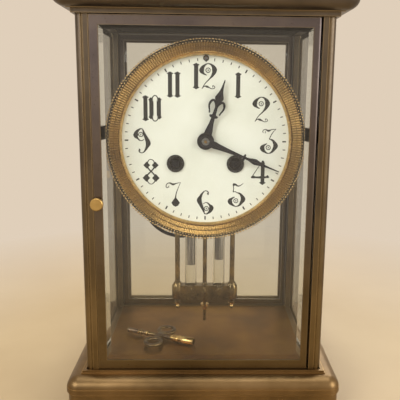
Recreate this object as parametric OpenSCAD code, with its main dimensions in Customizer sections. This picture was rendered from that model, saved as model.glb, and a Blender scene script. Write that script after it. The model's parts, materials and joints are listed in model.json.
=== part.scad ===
// Four-glass mantel clock: a brass case with bevelled glass on four sides, a round French
// movement with an enamel dial, and a pendulum with two glass vials.
// Millimetres. Origin: middle of the underside. The dial faces -Y and +Z is up.

/* [Case] */
// Width over the corner posts
case_w = 143; // [134:1:175]
// Depth over the corner posts
case_d = 110; // [104:1:135]
// Height from the floor of the case to the underside of the cornice
case_h = 208.4; // [200:0.1:255]
// Height of the moulded base
base_h = 24; // [20:1:30]
// Height of the moulded cornice
cornice_h = 22; // [18:1:28]
// How far the base and the cornice stand out past the posts
overhang = 11.2; // [9.2:0.1:14]
// Plan radius of the base's and the cornice's corners
corner_r = 8; // [6:0.5:9]
// Wall of the hollow base and cornice
casting_t = 4; // [3.4:0.2:4.8]
// Thickness of the floor plate
floor_t = 1.2; // [1:0.1:1.6]

/* [Posts, doors and glass] */
// Width of a corner post, seen from the front
post_w = 7.6; // [6.3:0.1:9.2]
// Depth of a corner post, seen from the side
post_d = 9; // [8:0.1:11]
// Thickness of a door frame
door_t = 4.5; // [4:0.1:5.4]
// Width of a door's upright
stile_w = 5; // [4.4:0.1:6]
// Height of a door's top and bottom rail
rail_h = 5.4; // [5:0.1:7.5]
// Thickness of the glass
glass_t = 3; // [2.5:0.1:3.2]
// Width of the bevel round each pane
bevel_w = 7; // [5:0.5:9]
// Radius of the hinge pins
hinge_pin_r = 1.2; // [1:0.1:1.4]
// Radius of a latch knob
knob_r = 3.7; // [3.2:0.1:4.4]

/* [Dial] */
// Height of the dial's centre above the floor of the case
dial_up = 139; // [132:0.5:141]
// Radius of the part of the enamel that shows
dial_r = 49.2; // [48.4:0.1:50]
// Outer radius of the bezel
bezel_r = 59; // [57.5:0.1:60]
// Depth of the enamel behind the front of the case
dial_in = 16; // [15:0.5:20]
// Length of the minute hand from the centre
minute_l = 47; // [38:0.5:48]
// Length of the hour hand from the centre
hour_l = 37; // [28:0.5:38]

/* [Movement] */
// Radius of the movement's plates
plate_r = 43; // [43:0.5:45]
// Space between the plates
plate_gap = 30; // [28:0.5:36]
// Thickness of each plate
plate_t = 2; // [1.6:0.1:2.6]
// Radius of a mainspring barrel's drum
barrel_r = 15.6; // [14:0.1:15.8]
// Radius of a winding arbor
winding_r = 2.4; // [2:0.1:2.9]

/* [Pendulum and gong] */
// Distance of the two outer rods from the middle of the pendulum
rod_x = 19.3; // [18:0.1:21]
// Radius of an outer rod
rod_r = 1.7; // [1.4:0.1:2]
// Outer radius of a glass vial
vial_r = 4.25; // [3.8:0.05:4.4]
// Radius of the gong's wire
gong_wire_r = 1.2; // [0.9:0.1:1.5]

/* [Key] */
// Distance from the middle of the key to each end of its shaft
key_l = 25; // [20:0.5:27]
// Turn of the key on the floor
key_turn = -22.7; // [-30:0.1:-15]

/* [Hidden] */
$fn = 64;

// Fits
run_gap = 0.05;      // a shaft in its hole
door_gap = 0.15;     // round a door

// Case
front_y = -case_d / 2;
floor_z = base_h;
top_z = floor_z + case_h;
full_w = case_w + 2 * overhang;
full_d = case_d + 2 * overhang;
bead_in = 2.5;       // the bead at the posts' feet, out from them
bead_h = 1.2;

// Doors
door_half = case_w / 2 - post_w - door_gap;
open_half = door_half - stile_w;
door_z0 = floor_z + bead_h + 0.3;
door_z1 = top_z - 0.4;
pivot_r = door_t / 2;
pivot_x = door_half - pivot_r;
door_front = 0.3;    // how far a door's face lies behind the posts' faces
lip_t = 1.1;         // the frame's lip in front of the glass
lip_w = 1.5;         // how far the lip covers the glass
pin_in = 3;          // a hinge pin's length in the base or the cornice
latch_z = floor_z + 103.7;
latch_x = -(door_half - stile_w / 2 + 0.5);
latch_r = 1.2;       // the latch's stem

// Dial and movement, in depth
dial_z = floor_z + dial_up;
enamel_y = front_y + dial_in;
enamel_t = 1;
pan_t = 1.5;
pan_y = enamel_y + enamel_t + pan_t;     // back of the dial pan
motion_gap = 5.6;
plate_y = pan_y + motion_gap;            // front of the front plate
inner_y = plate_y + plate_t;             // back of the front plate
rear_y = inner_y + plate_gap;            // front of the back plate
back_y = rear_y + plate_t;               // back of the back plate
bob_y = back_y + 5;                      // plane of the pendulum
gong_y = bob_y + 14;                     // plane of the gong

// Arbors, seen from the front, from the dial's centre
centre_p = [0, 0];
going_p = [17.8, -13.5];
strike_p = [-17.8, -13.5];
barrel_teeth = 84;
barrel_m = 0.4;
barrel_leaves = 12;
inter_teeth = 78;
inter_m = 0.34;
centre_leaves = 10;
centre_teeth = 80;
centre_m = 0.32;
third_leaves = 8;
third_teeth = 72;
third_m = 0.3;
escape_leaves = 6;
escape_teeth = 42;
escape_r = 8;
cannon_leaves = 14;
minute_teeth = 42;
cannon_m = 0.45;
minute_leaves = 10;
hour_teeth = 40;
second_teeth = 70;
second_m = 0.34;
pin_leaves = 8;
pin_teeth = 60;
pin_m = 0.3;
locking_leaves = 6;
locking_teeth = 56;
locking_m = 0.28;
warning_leaves = 7;
warning_teeth = 48;
warning_m = 0.24;
fly_leaves = 6;
lift_pins = 10;
lift_pin_ring = 7.5;
lift_pin_r = 0.4;

function span(a, b, m) = (a + b) * m / 2;
function polar(r, a) = [r * cos(a), r * sin(a)];
function bearing(p, q) = atan2(q[1] - p[1], q[0] - p[0]);
// The point at distance ra from a and rb from b, on the left of the line from a to b
function meet(a, ra, b, rb) =
    let (d = norm(b - a), along = (ra * ra - rb * rb + d * d) / (2 * d),
         side = sqrt(ra * ra - along * along), u = (b - a) / d)
    a + along * u + side * [-u[1], u[0]];

inter_p = meet(centre_p, span(inter_teeth, centre_leaves, inter_m),
               going_p, span(barrel_teeth, barrel_leaves, barrel_m));
cannon_span = span(cannon_leaves, minute_teeth, cannon_m);
hour_m = 2 * cannon_span / (minute_leaves + hour_teeth);
minute_p = [0, -cannon_span];
third_p = polar(span(centre_teeth, third_leaves, centre_m), 98);
escape_p = [0, third_p[1] + sqrt(pow(span(third_teeth, escape_leaves, third_m), 2) - pow(third_p[0], 2))];
anchor_p = [0, 36];
second_p = strike_p + polar(span(barrel_teeth, barrel_leaves, barrel_m), 102.6);
pin_p = second_p + polar(span(second_teeth, pin_leaves, second_m), 63.1);
locking_p = pin_p + polar(span(pin_teeth, locking_leaves, pin_m), 56.2);
warning_p = locking_p + polar(span(locking_teeth, warning_leaves, locking_m), 150);
fly_p = warning_p + polar(span(warning_teeth, fly_leaves, warning_m), 180);
hammer_p = [-33, 16];
regulator_p = [0, 47.6];

// Places of pieces along the movement's depth, behind the front plate
centre_t = 1;
inter_t = 3.5;
third_t = 8;
pin_t = 12;
locking_t = 16;
escape_t = 20;
warning_t = 22;
barrel_t = 6;
barrel_gear_t = 24;
barrel_l = barrel_gear_t - barrel_t;
barrel_gear_h = 2;
wheel_h = 0.9;
pinion_h = 2.6;
arbor_r = 0.8;
pivot_end_r = 0.45;

// Winding
square_r = 2;
ratchet_r = 6.4;
ratchet_teeth = 20;
ratchet_h = 1.2;
ratchet_y = plate_y - 0.4;
click_at = [7.6, -7.2];
click_nose = 0.25;

// Pendulum, heights from the dial's centre
frame_top = -57;
frame_bar = 4;
tray_top = -106;
tray_h = 10.4;
tray_w = 46.4;
tray_d = 10;
centre_rod_r = 1.45;
vial_x = 9.9;
vial_cap = 2;
vial_seat = 2.6;
nut_z = -121;
tail_z = -133;
fork_z = 10;

// ---- Helpers --------------------------------------------------------------------------

// Children drawn flat and facing the viewer, with their back at depth y
module facing(p, y) translate([p[0], y, dial_z + p[1]]) rotate([90, 0, 0]) children();

module disc(p, y, r, h) facing(p, y) cylinder(r = r, h = h);

module ring(p, y, r_out, r_in, h) facing(p, y) difference() {
    cylinder(r = r_out, h = h);
    translate([0, 0, -1]) cylinder(r = r_in, h = h + 2);
}

// A gear's outline. One tooth points along the angle "phase".
function gear_points(teeth, m, phase, add, ded, root, tip) =
    let (r = teeth * m / 2, pitch = 360 / teeth)
    [for (i = [0:teeth - 1], k = [0:3])
        polar(k == 1 || k == 2 ? r + add * m : r - ded * m,
              phase + i * pitch + (k < 2 ? -1 : 1) * pitch * (k == 1 || k == 2 ? tip : root))];

module wheel_outline(teeth, m, phase) polygon(gear_points(teeth, m, phase, 0.95, 1.25, 0.28, 0.08));
module pinion_outline(teeth, m, phase) polygon(gear_points(teeth, m, phase, 0.8, 1.35, 0.17, 0.09));

// A wheel with five crossings
module wheel(teeth, m, phase, h) {
    rim = teeth * m / 2 - 1.25 * m - 1.1;
    difference() {
        linear_extrude(h) wheel_outline(teeth, m, phase);
        translate([0, 0, -1]) difference() {
            cylinder(r = rim, h = h + 2);
            cylinder(r = 2.6, h = h + 2);
            for (a = [0:72:288]) rotate(a) translate([0, -0.6, 0]) cube([rim + 1, 1.2, h + 2]);
        }
    }
}

// An arbor with a pivot at each end, from t0 to t1 behind the front plate
module arbor(p, r = arbor_r, t0 = 0.3, t1 = plate_gap - 0.3) {
    disc(p, inner_y + t1, r, t1 - t0);
    disc(p, inner_y + t1 + 1.8, pivot_end_r, t1 - t0 + 3.6);
}

// The radius of an arbor whose pinion's wheel must pass over it
function leaf_core(leaves, m) = min(arbor_r, (leaves / 2 - 1) * m);

// A train wheel: its wheel, its pinion and its arbor
module train_wheel(p, teeth, m, wheel_t, wheel_phase, leaves, leaf_m, leaf_t, leaf_phase) {
    facing(p, inner_y + wheel_t + wheel_h) wheel(teeth, m, wheel_phase, wheel_h);
    facing(p, inner_y + leaf_t + pinion_h) linear_extrude(pinion_h)
        pinion_outline(leaves, leaf_m, leaf_phase);
    arbor(p, leaf_core(leaves, leaf_m));
}

// The phase of a driven gear of that many teeth at q, in mesh with a driver at p
function gap_phase(p, q, teeth) = bearing(q, p) + 180 / teeth;

// A solid with a moulded edge: "section" is [distance in from the edge, height] points,
// from the bottom to the top, no further in than the corner radius
module moulded(section, z0, z1) {
    outline = concat([[0, z0]], [for (s = section) [corner_r - s[0], s[1]]], [[0, z1]]);
    long_x = full_w - 2 * corner_r;
    long_y = full_d - 2 * corner_r;
    translate([-long_x / 2, -long_y / 2, z0]) cube([long_x, long_y, z1 - z0]);
    for (i = [0:3]) {
        sx = i == 0 || i == 3 ? 1 : -1;
        sy = i < 2 ? 1 : -1;
        translate([sx * long_x / 2, sy * long_y / 2, 0]) rotate(i * 90)
            rotate_extrude(angle = 90) polygon(outline);
    }
    for (i = [0:3]) {
        run = i % 2 == 0 ? long_y : long_x;
        out = i % 2 == 0 ? long_x / 2 : long_y / 2;
        rotate(i * 90) translate([out, run / 2, 0]) rotate([90, 0, 0])
            linear_extrude(run) polygon(outline);
    }
}

// Points of a quarter of an ellipse from angle a0 to a1
function sweep(centre, rx, ry, a0, a1, steps = 8) =
    [for (i = [0:steps]) let (a = a0 + (a1 - a0) * i / steps)
        centre + [rx * cos(a), ry * sin(a)]];

module screw(r, l, head_r, head_h) {
    cylinder(r = r, h = l);
    difference() {
        translate([0, 0, -head_h]) cylinder(r = head_r, h = head_h);
        translate([-head_r, -0.3, -head_h - 0.1]) cube([2 * head_r, 0.6, head_h / 2]);
    }
}

// ---- Case -----------------------------------------------------------------------------

screw_r = 1.5;
post_x = case_w / 2 - post_w / 2;
post_y = case_d / 2 - post_d / 2;
roll_in = 3.6;       // where the base's roll starts, out from the posts
band_in = 0.6;       // the plain band, in from the edge
fillet_h = 3.2;
roll_low = -6.8;     // the roll's lower edge, from the floor
stud_l = 8;          // the studs that hold the cornice, above the posts

module at_posts() for (sx = [-1, 1], sy = [-1, 1]) translate([sx * post_x, sy * post_y, 0]) children();

module base_plinth() {
    roll_w = min(overhang - roll_in, corner_r - 0.2);
    section = concat(
        [[0, 0], [0, 3], [band_in + 0.6, 4.4], [band_in + 0.6, floor_z + roll_low - fillet_h - 0.8],
         [0.2, floor_z + roll_low - fillet_h], [0.2, floor_z + roll_low]],
        sweep([roll_w, floor_z + roll_low], 0.4 - roll_w, -roll_low - 0.6, 0, 90));
    color("#7a5c36") difference() {
        union() {
            moulded(section, 0, floor_z - 0.6);
            translate([-case_w / 2 - bead_in, -case_d / 2 - bead_in, floor_z - 1])
                cube([case_w + 2 * bead_in, case_d + 2 * bead_in, 1]);
            difference() {
                translate([-case_w / 2 - bead_in + 0.6, -case_d / 2 - bead_in + 0.6, floor_z - 0.5])
                    cube([case_w + 2 * bead_in - 1.2, case_d + 2 * bead_in - 1.2, bead_h + 0.5]);
                translate([-case_w / 2 + post_w, -case_d / 2 + post_d, floor_z])
                    cube([case_w - 2 * post_w, case_d - 2 * post_d, bead_h + 1]);
                at_posts() translate([-post_w / 2, -post_d / 2, floor_z])
                    cube([post_w, post_d, bead_h + 1]);
                translate([-case_w / 2 + 0.7, -case_d / 2 + post_d - 0.1, floor_z])
                    cube([case_w - 1.4, case_d - 2 * post_d + 0.2, bead_h + 1]);
            }
        }
        translate([-full_w / 2 + corner_r, -full_d / 2 + corner_r, -1])
            cube([full_w - 2 * corner_r, full_d - 2 * corner_r, base_h - casting_t + 1]);
        at_posts() translate([0, 0, -1]) cylinder(r = screw_r + run_gap, h = base_h + 2);
        door_pin_holes(floor_z - pin_in - 0.2, floor_z + bead_h + 1);
    }
}

module floor_plate() color("#a5813f") {
    w = case_w - 2 * post_w - 0.6;
    d = case_d - 2 * post_d - 0.6;
    translate([-w / 2, -d / 2, floor_z]) cube([w, d, floor_t]);
}

// The section of a post: a flat fillet, a groove and a quarter round at the outer corner
module post_outline() {
    round_r = post_w - 4;
    difference() {
        square([post_w, post_d]);
        translate([post_w - round_r, -1]) square([round_r + 1, round_r + 1]);
        translate([3.2, -0.1]) square([0.8, 0.8]);
        translate([post_w - 0.8 - glass_t - run_gap, post_d - 2.5])
            square([glass_t + 2 * run_gap, 3]);
    }
    intersection() {
        translate([post_w - round_r, round_r]) circle(r = round_r);
        translate([post_w - round_r, 0]) square([round_r, round_r]);
    }
}

// A post with its outer corner towards sx, sy; "slot" cuts the latch tongue's slot
module post(sx, sy, slot) color("#7d6a55") difference() {
    translate([sx * (case_w / 2 - post_w), sy * case_d / 2, floor_z]) mirror([sx < 0 ? 1 : 0, 0, 0])
        mirror([0, sy > 0 ? 1 : 0, 0]) linear_extrude(case_h) post_outline();
    for (z = [floor_z - 1, top_z - 11]) translate([sx * post_x, sy * post_y, z])
        cylinder(r = screw_r + run_gap, h = 12);
    if (slot) translate([sx * (case_w / 2 - post_w) - 2.8, sy * (case_d / 2 - door_front - door_t - 1.1) - 1.1,
        latch_z - 5.4]) cube([5.6, 2.2, 10.8]);
    if (sy < 0) translate([sx * (case_w / 2 - post_w) - 1 - run_gap, front_y + post_d - 4.1, bracket_z - 0.1])
        cube([2 + 2 * run_gap, 4.2, bracket_h + 0.2]);
}

module post_front_left() post(-1, -1, true);
module post_front_right() post(1, -1, false);
module post_rear_left() post(-1, 1, true);
module post_rear_right() post(1, 1, false);

module cornice() {
    z = top_z;
    section = concat(
        sweep([corner_r - 0.2, z + 9.4], -(corner_r - 0.6), -6.6, 90, 0),
        [[0.4, z + 9.8], [0, z + 10.2], [0, z + 13], [1, z + 13.8], [1, z + cornice_h - 4],
         [0.3, z + cornice_h - 3], [0.3, z + cornice_h - 0.8], [1.1, z + cornice_h]]);
    color("#6f5730") difference() {
        union() {
            moulded(section, z + 2.4, z + cornice_h);
            translate([-case_w / 2 - 1.4, -case_d / 2 - 1.4, z])
                cube([case_w + 2.8, case_d + 2.8, 3]);
        }
        translate([-case_w / 2 + post_w + 1, -case_d / 2 + post_d + 1, z - 1])
            cube([case_w - 2 * post_w - 2, case_d - 2 * post_d - 2, cornice_h - casting_t + 1]);
        at_posts() translate([0, 0, z - 1]) cylinder(r = screw_r + run_gap, h = stud_l + 1.2);
        door_pin_holes(z - 1, z + pin_in + 0.2);
    }
}

// A flat plate that closes the cornice's hollow from below
module ceiling_plate() color("#6f5730") {
    slip = 0.1;      // between the plate and the hollow's walls
    w = case_w - 2 * post_w - 2 - 2 * slip;
    d = case_d - 2 * post_d - 2 - 2 * slip;
    translate([-w / 2, -d / 2, top_z + 0.2]) cube([w, d, floor_t]);
}

module case_screws() color("#8a8f96") {
    at_posts() translate([0, 0, base_h - casting_t]) screw(screw_r, casting_t + 9, 2.8, 1.6);
    at_posts() translate([0, 0, top_z - 9]) cylinder(r = screw_r, h = 9 + stud_l);
    for (s = [-1, 1]) translate([s * bracket_screw_x, plate_y - bracket_t, bracket_z + bracket_h / 2])
        rotate([-90, 0, 0]) screw(1, bracket_t + plate_t, 1.8, 0.9);
}

module bevel_cuts(w, h, face) for (s = [-1, 1]) {
    // Each cut leans back 10 degrees from a line one bevel's width inside the edge
    translate([s * (w / 2 - bevel_w), face, -1]) rotate([0, 0, s * 10])
        translate([s > 0 ? 0 : -2 * bevel_w, -3, 0]) cube([2 * bevel_w, 3, h + 2]);
    translate([-w / 2 - 1, face, s > 0 ? h - bevel_w : bevel_w]) rotate([-s * 10, 0, 0])
        translate([0, -3, s > 0 ? 0 : -2 * bevel_w]) cube([w + 2, 3, 2 * bevel_w]);
}

// A bevelled pane facing -Y, with its face at y = 0, standing on z = 0
module pane(w, h) difference() {
    translate([-w / 2, 0, 0]) cube([w, glass_t, h]);
    bevel_cuts(w, h, 0);
}

module side_glass(s) {
    w = case_d - 2 * post_d + 2 * 2.4;
    h = case_h - 0.4;
    color("#cfe3e0", 0.35) translate([s * (case_w / 2 - 0.8), 0, floor_z + 0.2])
        rotate([0, 0, s * 90]) pane(w, h);
}
module side_glass_left() side_glass(-1);
module side_glass_right() side_glass(1);

// ---- Doors ----------------------------------------------------------------------------

// A door is drawn at the front; the rear one is its mirror image
module at_rear() mirror([0, 1, 0]) children();
door_y = front_y + door_front;            // face of the front door
pivot_y = door_y + pivot_r;

module door_pin_holes(z0, z1) for (s = [-1, 1])
    translate([pivot_x, s * pivot_y, z0]) cylinder(r = hinge_pin_r + run_gap, h = z1 - z0);

module door_frame() color("#77665a") difference() {
    union() {
        translate([-door_half, door_y, door_z0]) cube([door_half + pivot_x, door_t, door_z1 - door_z0]);
        translate([pivot_x, pivot_y, door_z0]) cylinder(r = pivot_r, h = door_z1 - door_z0);
    }
    translate([-open_half, door_y - 1, door_z0 + rail_h])
        cube([2 * open_half, door_t + 2, door_z1 - door_z0 - 2 * rail_h]);
    translate([-open_half - lip_w, door_y + lip_t, door_z0 + rail_h - lip_w])
        cube([2 * (open_half + lip_w), door_t, door_z1 - door_z0 - 2 * (rail_h - lip_w)]);
    translate([latch_x, door_y - 1, latch_z]) rotate([-90, 0, 0])
        cylinder(r = latch_r + run_gap, h = door_t + 2);
    for (z = [door_z0 - 1, door_z1 - 4]) translate([pivot_x, pivot_y, z])
        cylinder(r = hinge_pin_r, h = 5);
}

module door_glass() color("#cfe3e0", 0.35)
    translate([0, door_y + lip_t, door_z0 + rail_h - lip_w + 0.2])
        pane(2 * (open_half + lip_w) - 0.4, door_z1 - door_z0 - 2 * (rail_h - lip_w) - 0.4);

module hinge_pins() color("#8f7a4a") {
    translate([pivot_x, pivot_y, floor_z - pin_in]) cylinder(r = hinge_pin_r, h = door_z0 - floor_z + pin_in + 4);
    translate([pivot_x, pivot_y, door_z1 - 4]) cylinder(r = hinge_pin_r, h = top_z + pin_in - door_z1 + 4);
}

// The knob in front, the stem through the upright, and the tongue behind it, turned up
module latch() color("#c9a35c") translate([latch_x, 0, latch_z]) {
    tongue = 4.4;
    translate([0, front_y - 0.6, 0]) rotate([90, 0, 0]) cylinder(r = knob_r, h = 2.2);
    translate([0, front_y - 2.8, 0]) rotate([90, 0, 0]) cylinder(r1 = knob_r, r2 = knob_r - 0.5, h = 0.5);
    translate([0, front_y - 0.7, 0]) rotate([-90, 0, 0])
        cylinder(r = latch_r, h = door_front + door_t + 1.9);
    translate([-1.1, door_y + door_t + 0.2, -1.1]) cube([2.2, 1.2, tongue + 1.1]);
}

module front_door_frame() door_frame();
module front_door_glass() door_glass();
module front_hinge_pins() hinge_pins();
module front_latch() latch();
module rear_door_frame() at_rear() door_frame();
module rear_door_glass() at_rear() door_glass();
module rear_hinge_pins() at_rear() hinge_pins();
module rear_latch() at_rear() latch();

// ---- Dial and hands -------------------------------------------------------------------

bracket_h = 8;
bracket_t = 1.8;
bracket_z = dial_z;
bracket_screw_x = plate_r - 4;
hour_pipe_r = 3;
cannon_r = 1.9;
hole_r = 4.6;

// Two straps from slots in the front posts to the front plate
module movement_brackets() color("#5b5246") for (s = [-1, 1]) difference() {
    union() {
        reach = case_w / 2 - post_w + 1;
        translate([s > 0 ? plate_r - 7 : -reach, plate_y - bracket_t, bracket_z])
            cube([reach - plate_r + 7, bracket_t, bracket_h]);
        translate([s > 0 ? reach - 2.6 : -reach, front_y + post_d - 4, bracket_z])
            cube([2.6, plate_y - front_y - post_d + 4, bracket_h]);
    }
    translate([s * bracket_screw_x, plate_y + 1, bracket_z + bracket_h / 2]) rotate([90, 0, 0])
        cylinder(r = 1 + run_gap, h = 9);
}

// The bezel's section, from the sight edge out to the beaded rim: [radius, height]
module bezel() color("#a07c45") facing(centre_p, enamel_y + enamel_t) rotate_extrude($fn = 128)
    polygon(concat(
        [[dial_r + 0.6, enamel_t + 0.05], [dial_r, enamel_t + 0.6], [dial_r + 0.3, enamel_t + 2]],
        [[dial_r + 1.4, enamel_t + 2.6], [dial_r + 2.2, enamel_t + 1.9], [bezel_r - 3, enamel_t + 4.4],
         [bezel_r - 2.6, enamel_t + 5.2], [bezel_r - 1, enamel_t + 5], [bezel_r, enamel_t + 3.8],
         [bezel_r, 0], [dial_r + 1.6, 0], [dial_r + 1.6, enamel_t + 0.05]]));

module dial_holes(y, h, big) {
    for (p = [going_p, strike_p]) disc(p, y, big, h);
    disc(regulator_p, y, 1.5, h);
    disc(centre_p, y, hour_pipe_r + 0.3, h);
}

module dial_pan() color("#8e7444") difference() {
    union() {
        disc(centre_p, pan_y, bezel_r - 1.5, pan_t);
        for (a = [60, 150, 240, 330]) disc(polar(plate_r - 3, a), plate_y, 1.4, motion_gap + 0.5);
    }
    dial_holes(pan_y + 1, pan_t + 2, hole_r);
}

module dial() color("#e9e8dc") difference() {
    disc(centre_p, enamel_y + enamel_t, dial_r + 1.4, enamel_t);
    dial_holes(enamel_y + enamel_t + 1, enamel_t + 2, hole_r);
}

module dial_grommets() color("#1d1f22") {
    for (p = [going_p, strike_p]) difference() {
        union() {
            ring(p, enamel_y, hole_r + 0.6, hole_r - 0.8, 0.7);
            ring(p, enamel_y + enamel_t, hole_r - 0.05, hole_r - 0.8, enamel_t + 0.1);
        }
    }
    ring(regulator_p, enamel_y, 1.7, 1.1, 0.4);
}

// A flat hand along +X with its eye at the origin: "widths" is [distance, half width] points
module hand(widths, boss_r, eye_r, h) difference() {
    union() {
        cylinder(r = boss_r, h = h);
        linear_extrude(h) polygon(concat([for (w = widths) w],
            [for (i = [len(widths) - 1:-1:0]) [widths[i][0], -widths[i][1]]]));
    }
    translate([0, 0, -1]) cylinder(r = eye_r, h = h + 2);
}

hand_t = 0.7;
hand_eye_r = 1.2;    // the arbor where the minute hand sits
arbor_tip_r = 0.85;
collet_pin = 0.6;
collet_pin_in = 1.35;
hour_turn = 17.3;    // clockwise from twelve
minute_turn = 111.9;
hour_hand_y = enamel_y - 2.2;
minute_hand_y = hour_hand_y - 1.9;

module hour_hand() color("#1d2430") facing(centre_p, hour_hand_y) rotate(90 - hour_turn)
    hand([[2, 1.6], [hour_l * 0.42, 1], [hour_l * 0.43, 3.4], [hour_l * 0.47, 3.4], [hour_l * 0.55, 1.2],
          [hour_l * 0.68, 2.6], [hour_l * 0.82, 1.4], [hour_l, 0.2]], 5, hour_pipe_r - 0.4, hand_t);

module minute_hand() color("#1d2430") facing(centre_p, minute_hand_y) rotate(90 - minute_turn)
    hand([[1.5, 1.5], [minute_l * 0.6, 0.7], [minute_l * 0.62, 1.9], [minute_l * 0.66, 1.9],
          [minute_l * 0.7, 0.8], [minute_l * 0.78, 1.6], [minute_l, 0.2]], 3.4, hand_eye_r, hand_t);

// The washer that holds the minute hand on, and the cross pin through the arbor's end
module hand_collet() color("#8b8378") {
    ring(centre_p, minute_hand_y - hand_t, 2.2, arbor_tip_r + run_gap, 0.6);
    facing(centre_p, minute_hand_y - collet_pin_in)
        translate([-2.4, -collet_pin / 2, 0]) cube([4.8, collet_pin, collet_pin]);
}

// ---- Plates ---------------------------------------------------------------------------

pillar_at = [[0, -38.6], [38.9, -2], [-38.9, -2], [23, 31.4]];
train_at = [inter_p, third_p, escape_p, second_p, pin_p, locking_p, warning_p, fly_p];

module plate_holes(y) {
    for (p = train_at) disc(p, y, pivot_end_r + run_gap, plate_t + 2);
    for (p = [going_p, strike_p]) disc(p, y, winding_r + run_gap, plate_t + 2);
    for (p = [hammer_p, anchor_p]) disc(p, y, arbor_r + run_gap, plate_t + 2);
}

module front_plate() color("#a98b4e") difference() {
    disc(centre_p, inner_y, plate_r, plate_t);
    plate_holes(inner_y + 1);
    disc(centre_p, inner_y + 1, cannon_r + run_gap, plate_t + 2);
    disc(minute_p, inner_y + 1, 0.9, plate_t + 2);
    for (s = [-1, 1]) disc([s * bracket_screw_x, bracket_z + bracket_h / 2 - dial_z], inner_y + 1,
        1 + run_gap, plate_t + 2);
    for (s = [[going_p, 1], [strike_p, -1]]) disc(s[0] + click_pivot(s[1]), inner_y + 1, 0.8, plate_t + 2);
}

module back_plate() color("#a98b4e") difference() {
    disc(centre_p, back_y, plate_r, plate_t);
    plate_holes(back_y + 1);
    disc(centre_p, back_y + 1, pivot_end_r + run_gap, plate_t + 2);
}

module plate_pillars() color("#b29455") {
    for (p = pillar_at) {
        disc(p, rear_y, 2.2, plate_gap);
        disc(p, inner_y + 3, 3, 3);
        disc(p, rear_y, 3, 3);
    }
    // the stud that the minute wheel turns on, and the two that the clicks turn on
    disc(minute_p, inner_y, 0.9, plate_t + 4.6);
    for (s = [[going_p, 1], [strike_p, -1]]) disc(s[0] + click_pivot(s[1]), inner_y, 0.8, plate_t + 2.1);
}

// ---- Winding --------------------------------------------------------------------------

module barrel(p, mesh_p) color("#b3924f") {
    facing(p, inner_y + barrel_gear_t + barrel_gear_h) difference() {
        linear_extrude(barrel_gear_h) wheel_outline(barrel_teeth, barrel_m, bearing(p, mesh_p));
        translate([0, 0, -1]) cylinder(r = winding_r + run_gap, h = 9);
    }
    facing(p, inner_y + barrel_gear_t) difference() {
        cylinder(r = barrel_r, h = barrel_l);
        translate([0, 0, -1]) cylinder(r = barrel_r - 1, h = barrel_l);
        translate([0, 0, -1]) cylinder(r = winding_r + run_gap, h = barrel_l + 2);
    }
}

module mainspring(p) color("#59606b")
    ring(p, inner_y + barrel_gear_t - 0.5, barrel_r - 1, barrel_r - 5.5, barrel_l - 2.4);

module winding_arbor(p) color("#9aa0a8") {
    disc(p, back_y - 0.3, winding_r, back_y - 0.3 - plate_y + 2);
    facing(p, ratchet_y) linear_extrude(ratchet_h)
        polygon([for (i = [0:ratchet_teeth - 1], k = [0:1])
            polar(ratchet_r - 0.9 * k, (i + 0.12 * k) * 360 / ratchet_teeth)]);
    facing(p, ratchet_y) rotate(45) cylinder(r = square_r * sqrt(2), h = ratchet_y - enamel_y - 0.4, $fn = 4);
}

function click_pivot(s) = [s * click_at[0], click_at[1]];
module click(p, s) color("#7d838c") {
    reach = norm(click_at) - ratchet_r - click_nose;
    facing(p + click_pivot(s), ratchet_y) rotate(bearing(click_pivot(s), [0, 0])) difference() {
        union() {
            cylinder(r = 2, h = ratchet_h);
            translate([0, -1.2, 0]) cube([reach - 0.1, 2.4, ratchet_h]);
        }
        translate([0, 0, -1]) cylinder(r = 0.8 + run_gap, h = 4);
    }
}

module going_barrel() barrel(going_p, inter_p);
module going_mainspring() mainspring(going_p);
module going_arbor() winding_arbor(going_p);
module going_click() click(going_p, 1);
module strike_barrel() barrel(strike_p, second_p);
module strike_mainspring() mainspring(strike_p);
module strike_arbor() winding_arbor(strike_p);
module strike_click() click(strike_p, -1);

// ---- Going train ----------------------------------------------------------------------

module intermediate_wheel() color("#b8984f")
    train_wheel(inter_p, inter_teeth, inter_m, inter_t, bearing(inter_p, centre_p),
        barrel_leaves, barrel_m, barrel_gear_t - 0.3, gap_phase(going_p, inter_p, barrel_leaves));

module centre_wheel() color("#b8984f") {
    facing(centre_p, inner_y + centre_t + wheel_h)
        wheel(centre_teeth, centre_m, bearing(centre_p, third_p), wheel_h);
    facing(centre_p, inner_y + inter_t + 1.6) linear_extrude(pinion_h)
        pinion_outline(centre_leaves, inter_m, gap_phase(inter_p, centre_p, centre_leaves));
    disc(centre_p, inner_y + plate_gap - 0.3, 1.1, plate_gap - 0.6);
    disc(centre_p, inner_y + plate_gap + 1.5, pivot_end_r, 6);
    disc(centre_p, inner_y + 0.5, cannon_r, inner_y + 0.5 - minute_hand_y - 0.2);
    disc(centre_p, minute_hand_y + 0.3, hand_eye_r, 1);
    difference() {
        disc(centre_p, minute_hand_y, arbor_tip_r, 2.8);
        translate([-2, minute_hand_y - collet_pin_in - collet_pin - run_gap, dial_z - collet_pin / 2 - run_gap])
            cube([4, collet_pin + 2 * run_gap, collet_pin + 2 * run_gap]);
    }
    facing(centre_p, plate_y - 0.5) linear_extrude(1.4)
        pinion_outline(cannon_leaves, cannon_m, bearing(centre_p, minute_p));
}

module third_wheel() color("#b8984f")
    train_wheel(third_p, third_teeth, third_m, third_t, bearing(third_p, escape_p),
        third_leaves, centre_m, centre_t - 0.6, gap_phase(centre_p, third_p, third_leaves));

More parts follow.
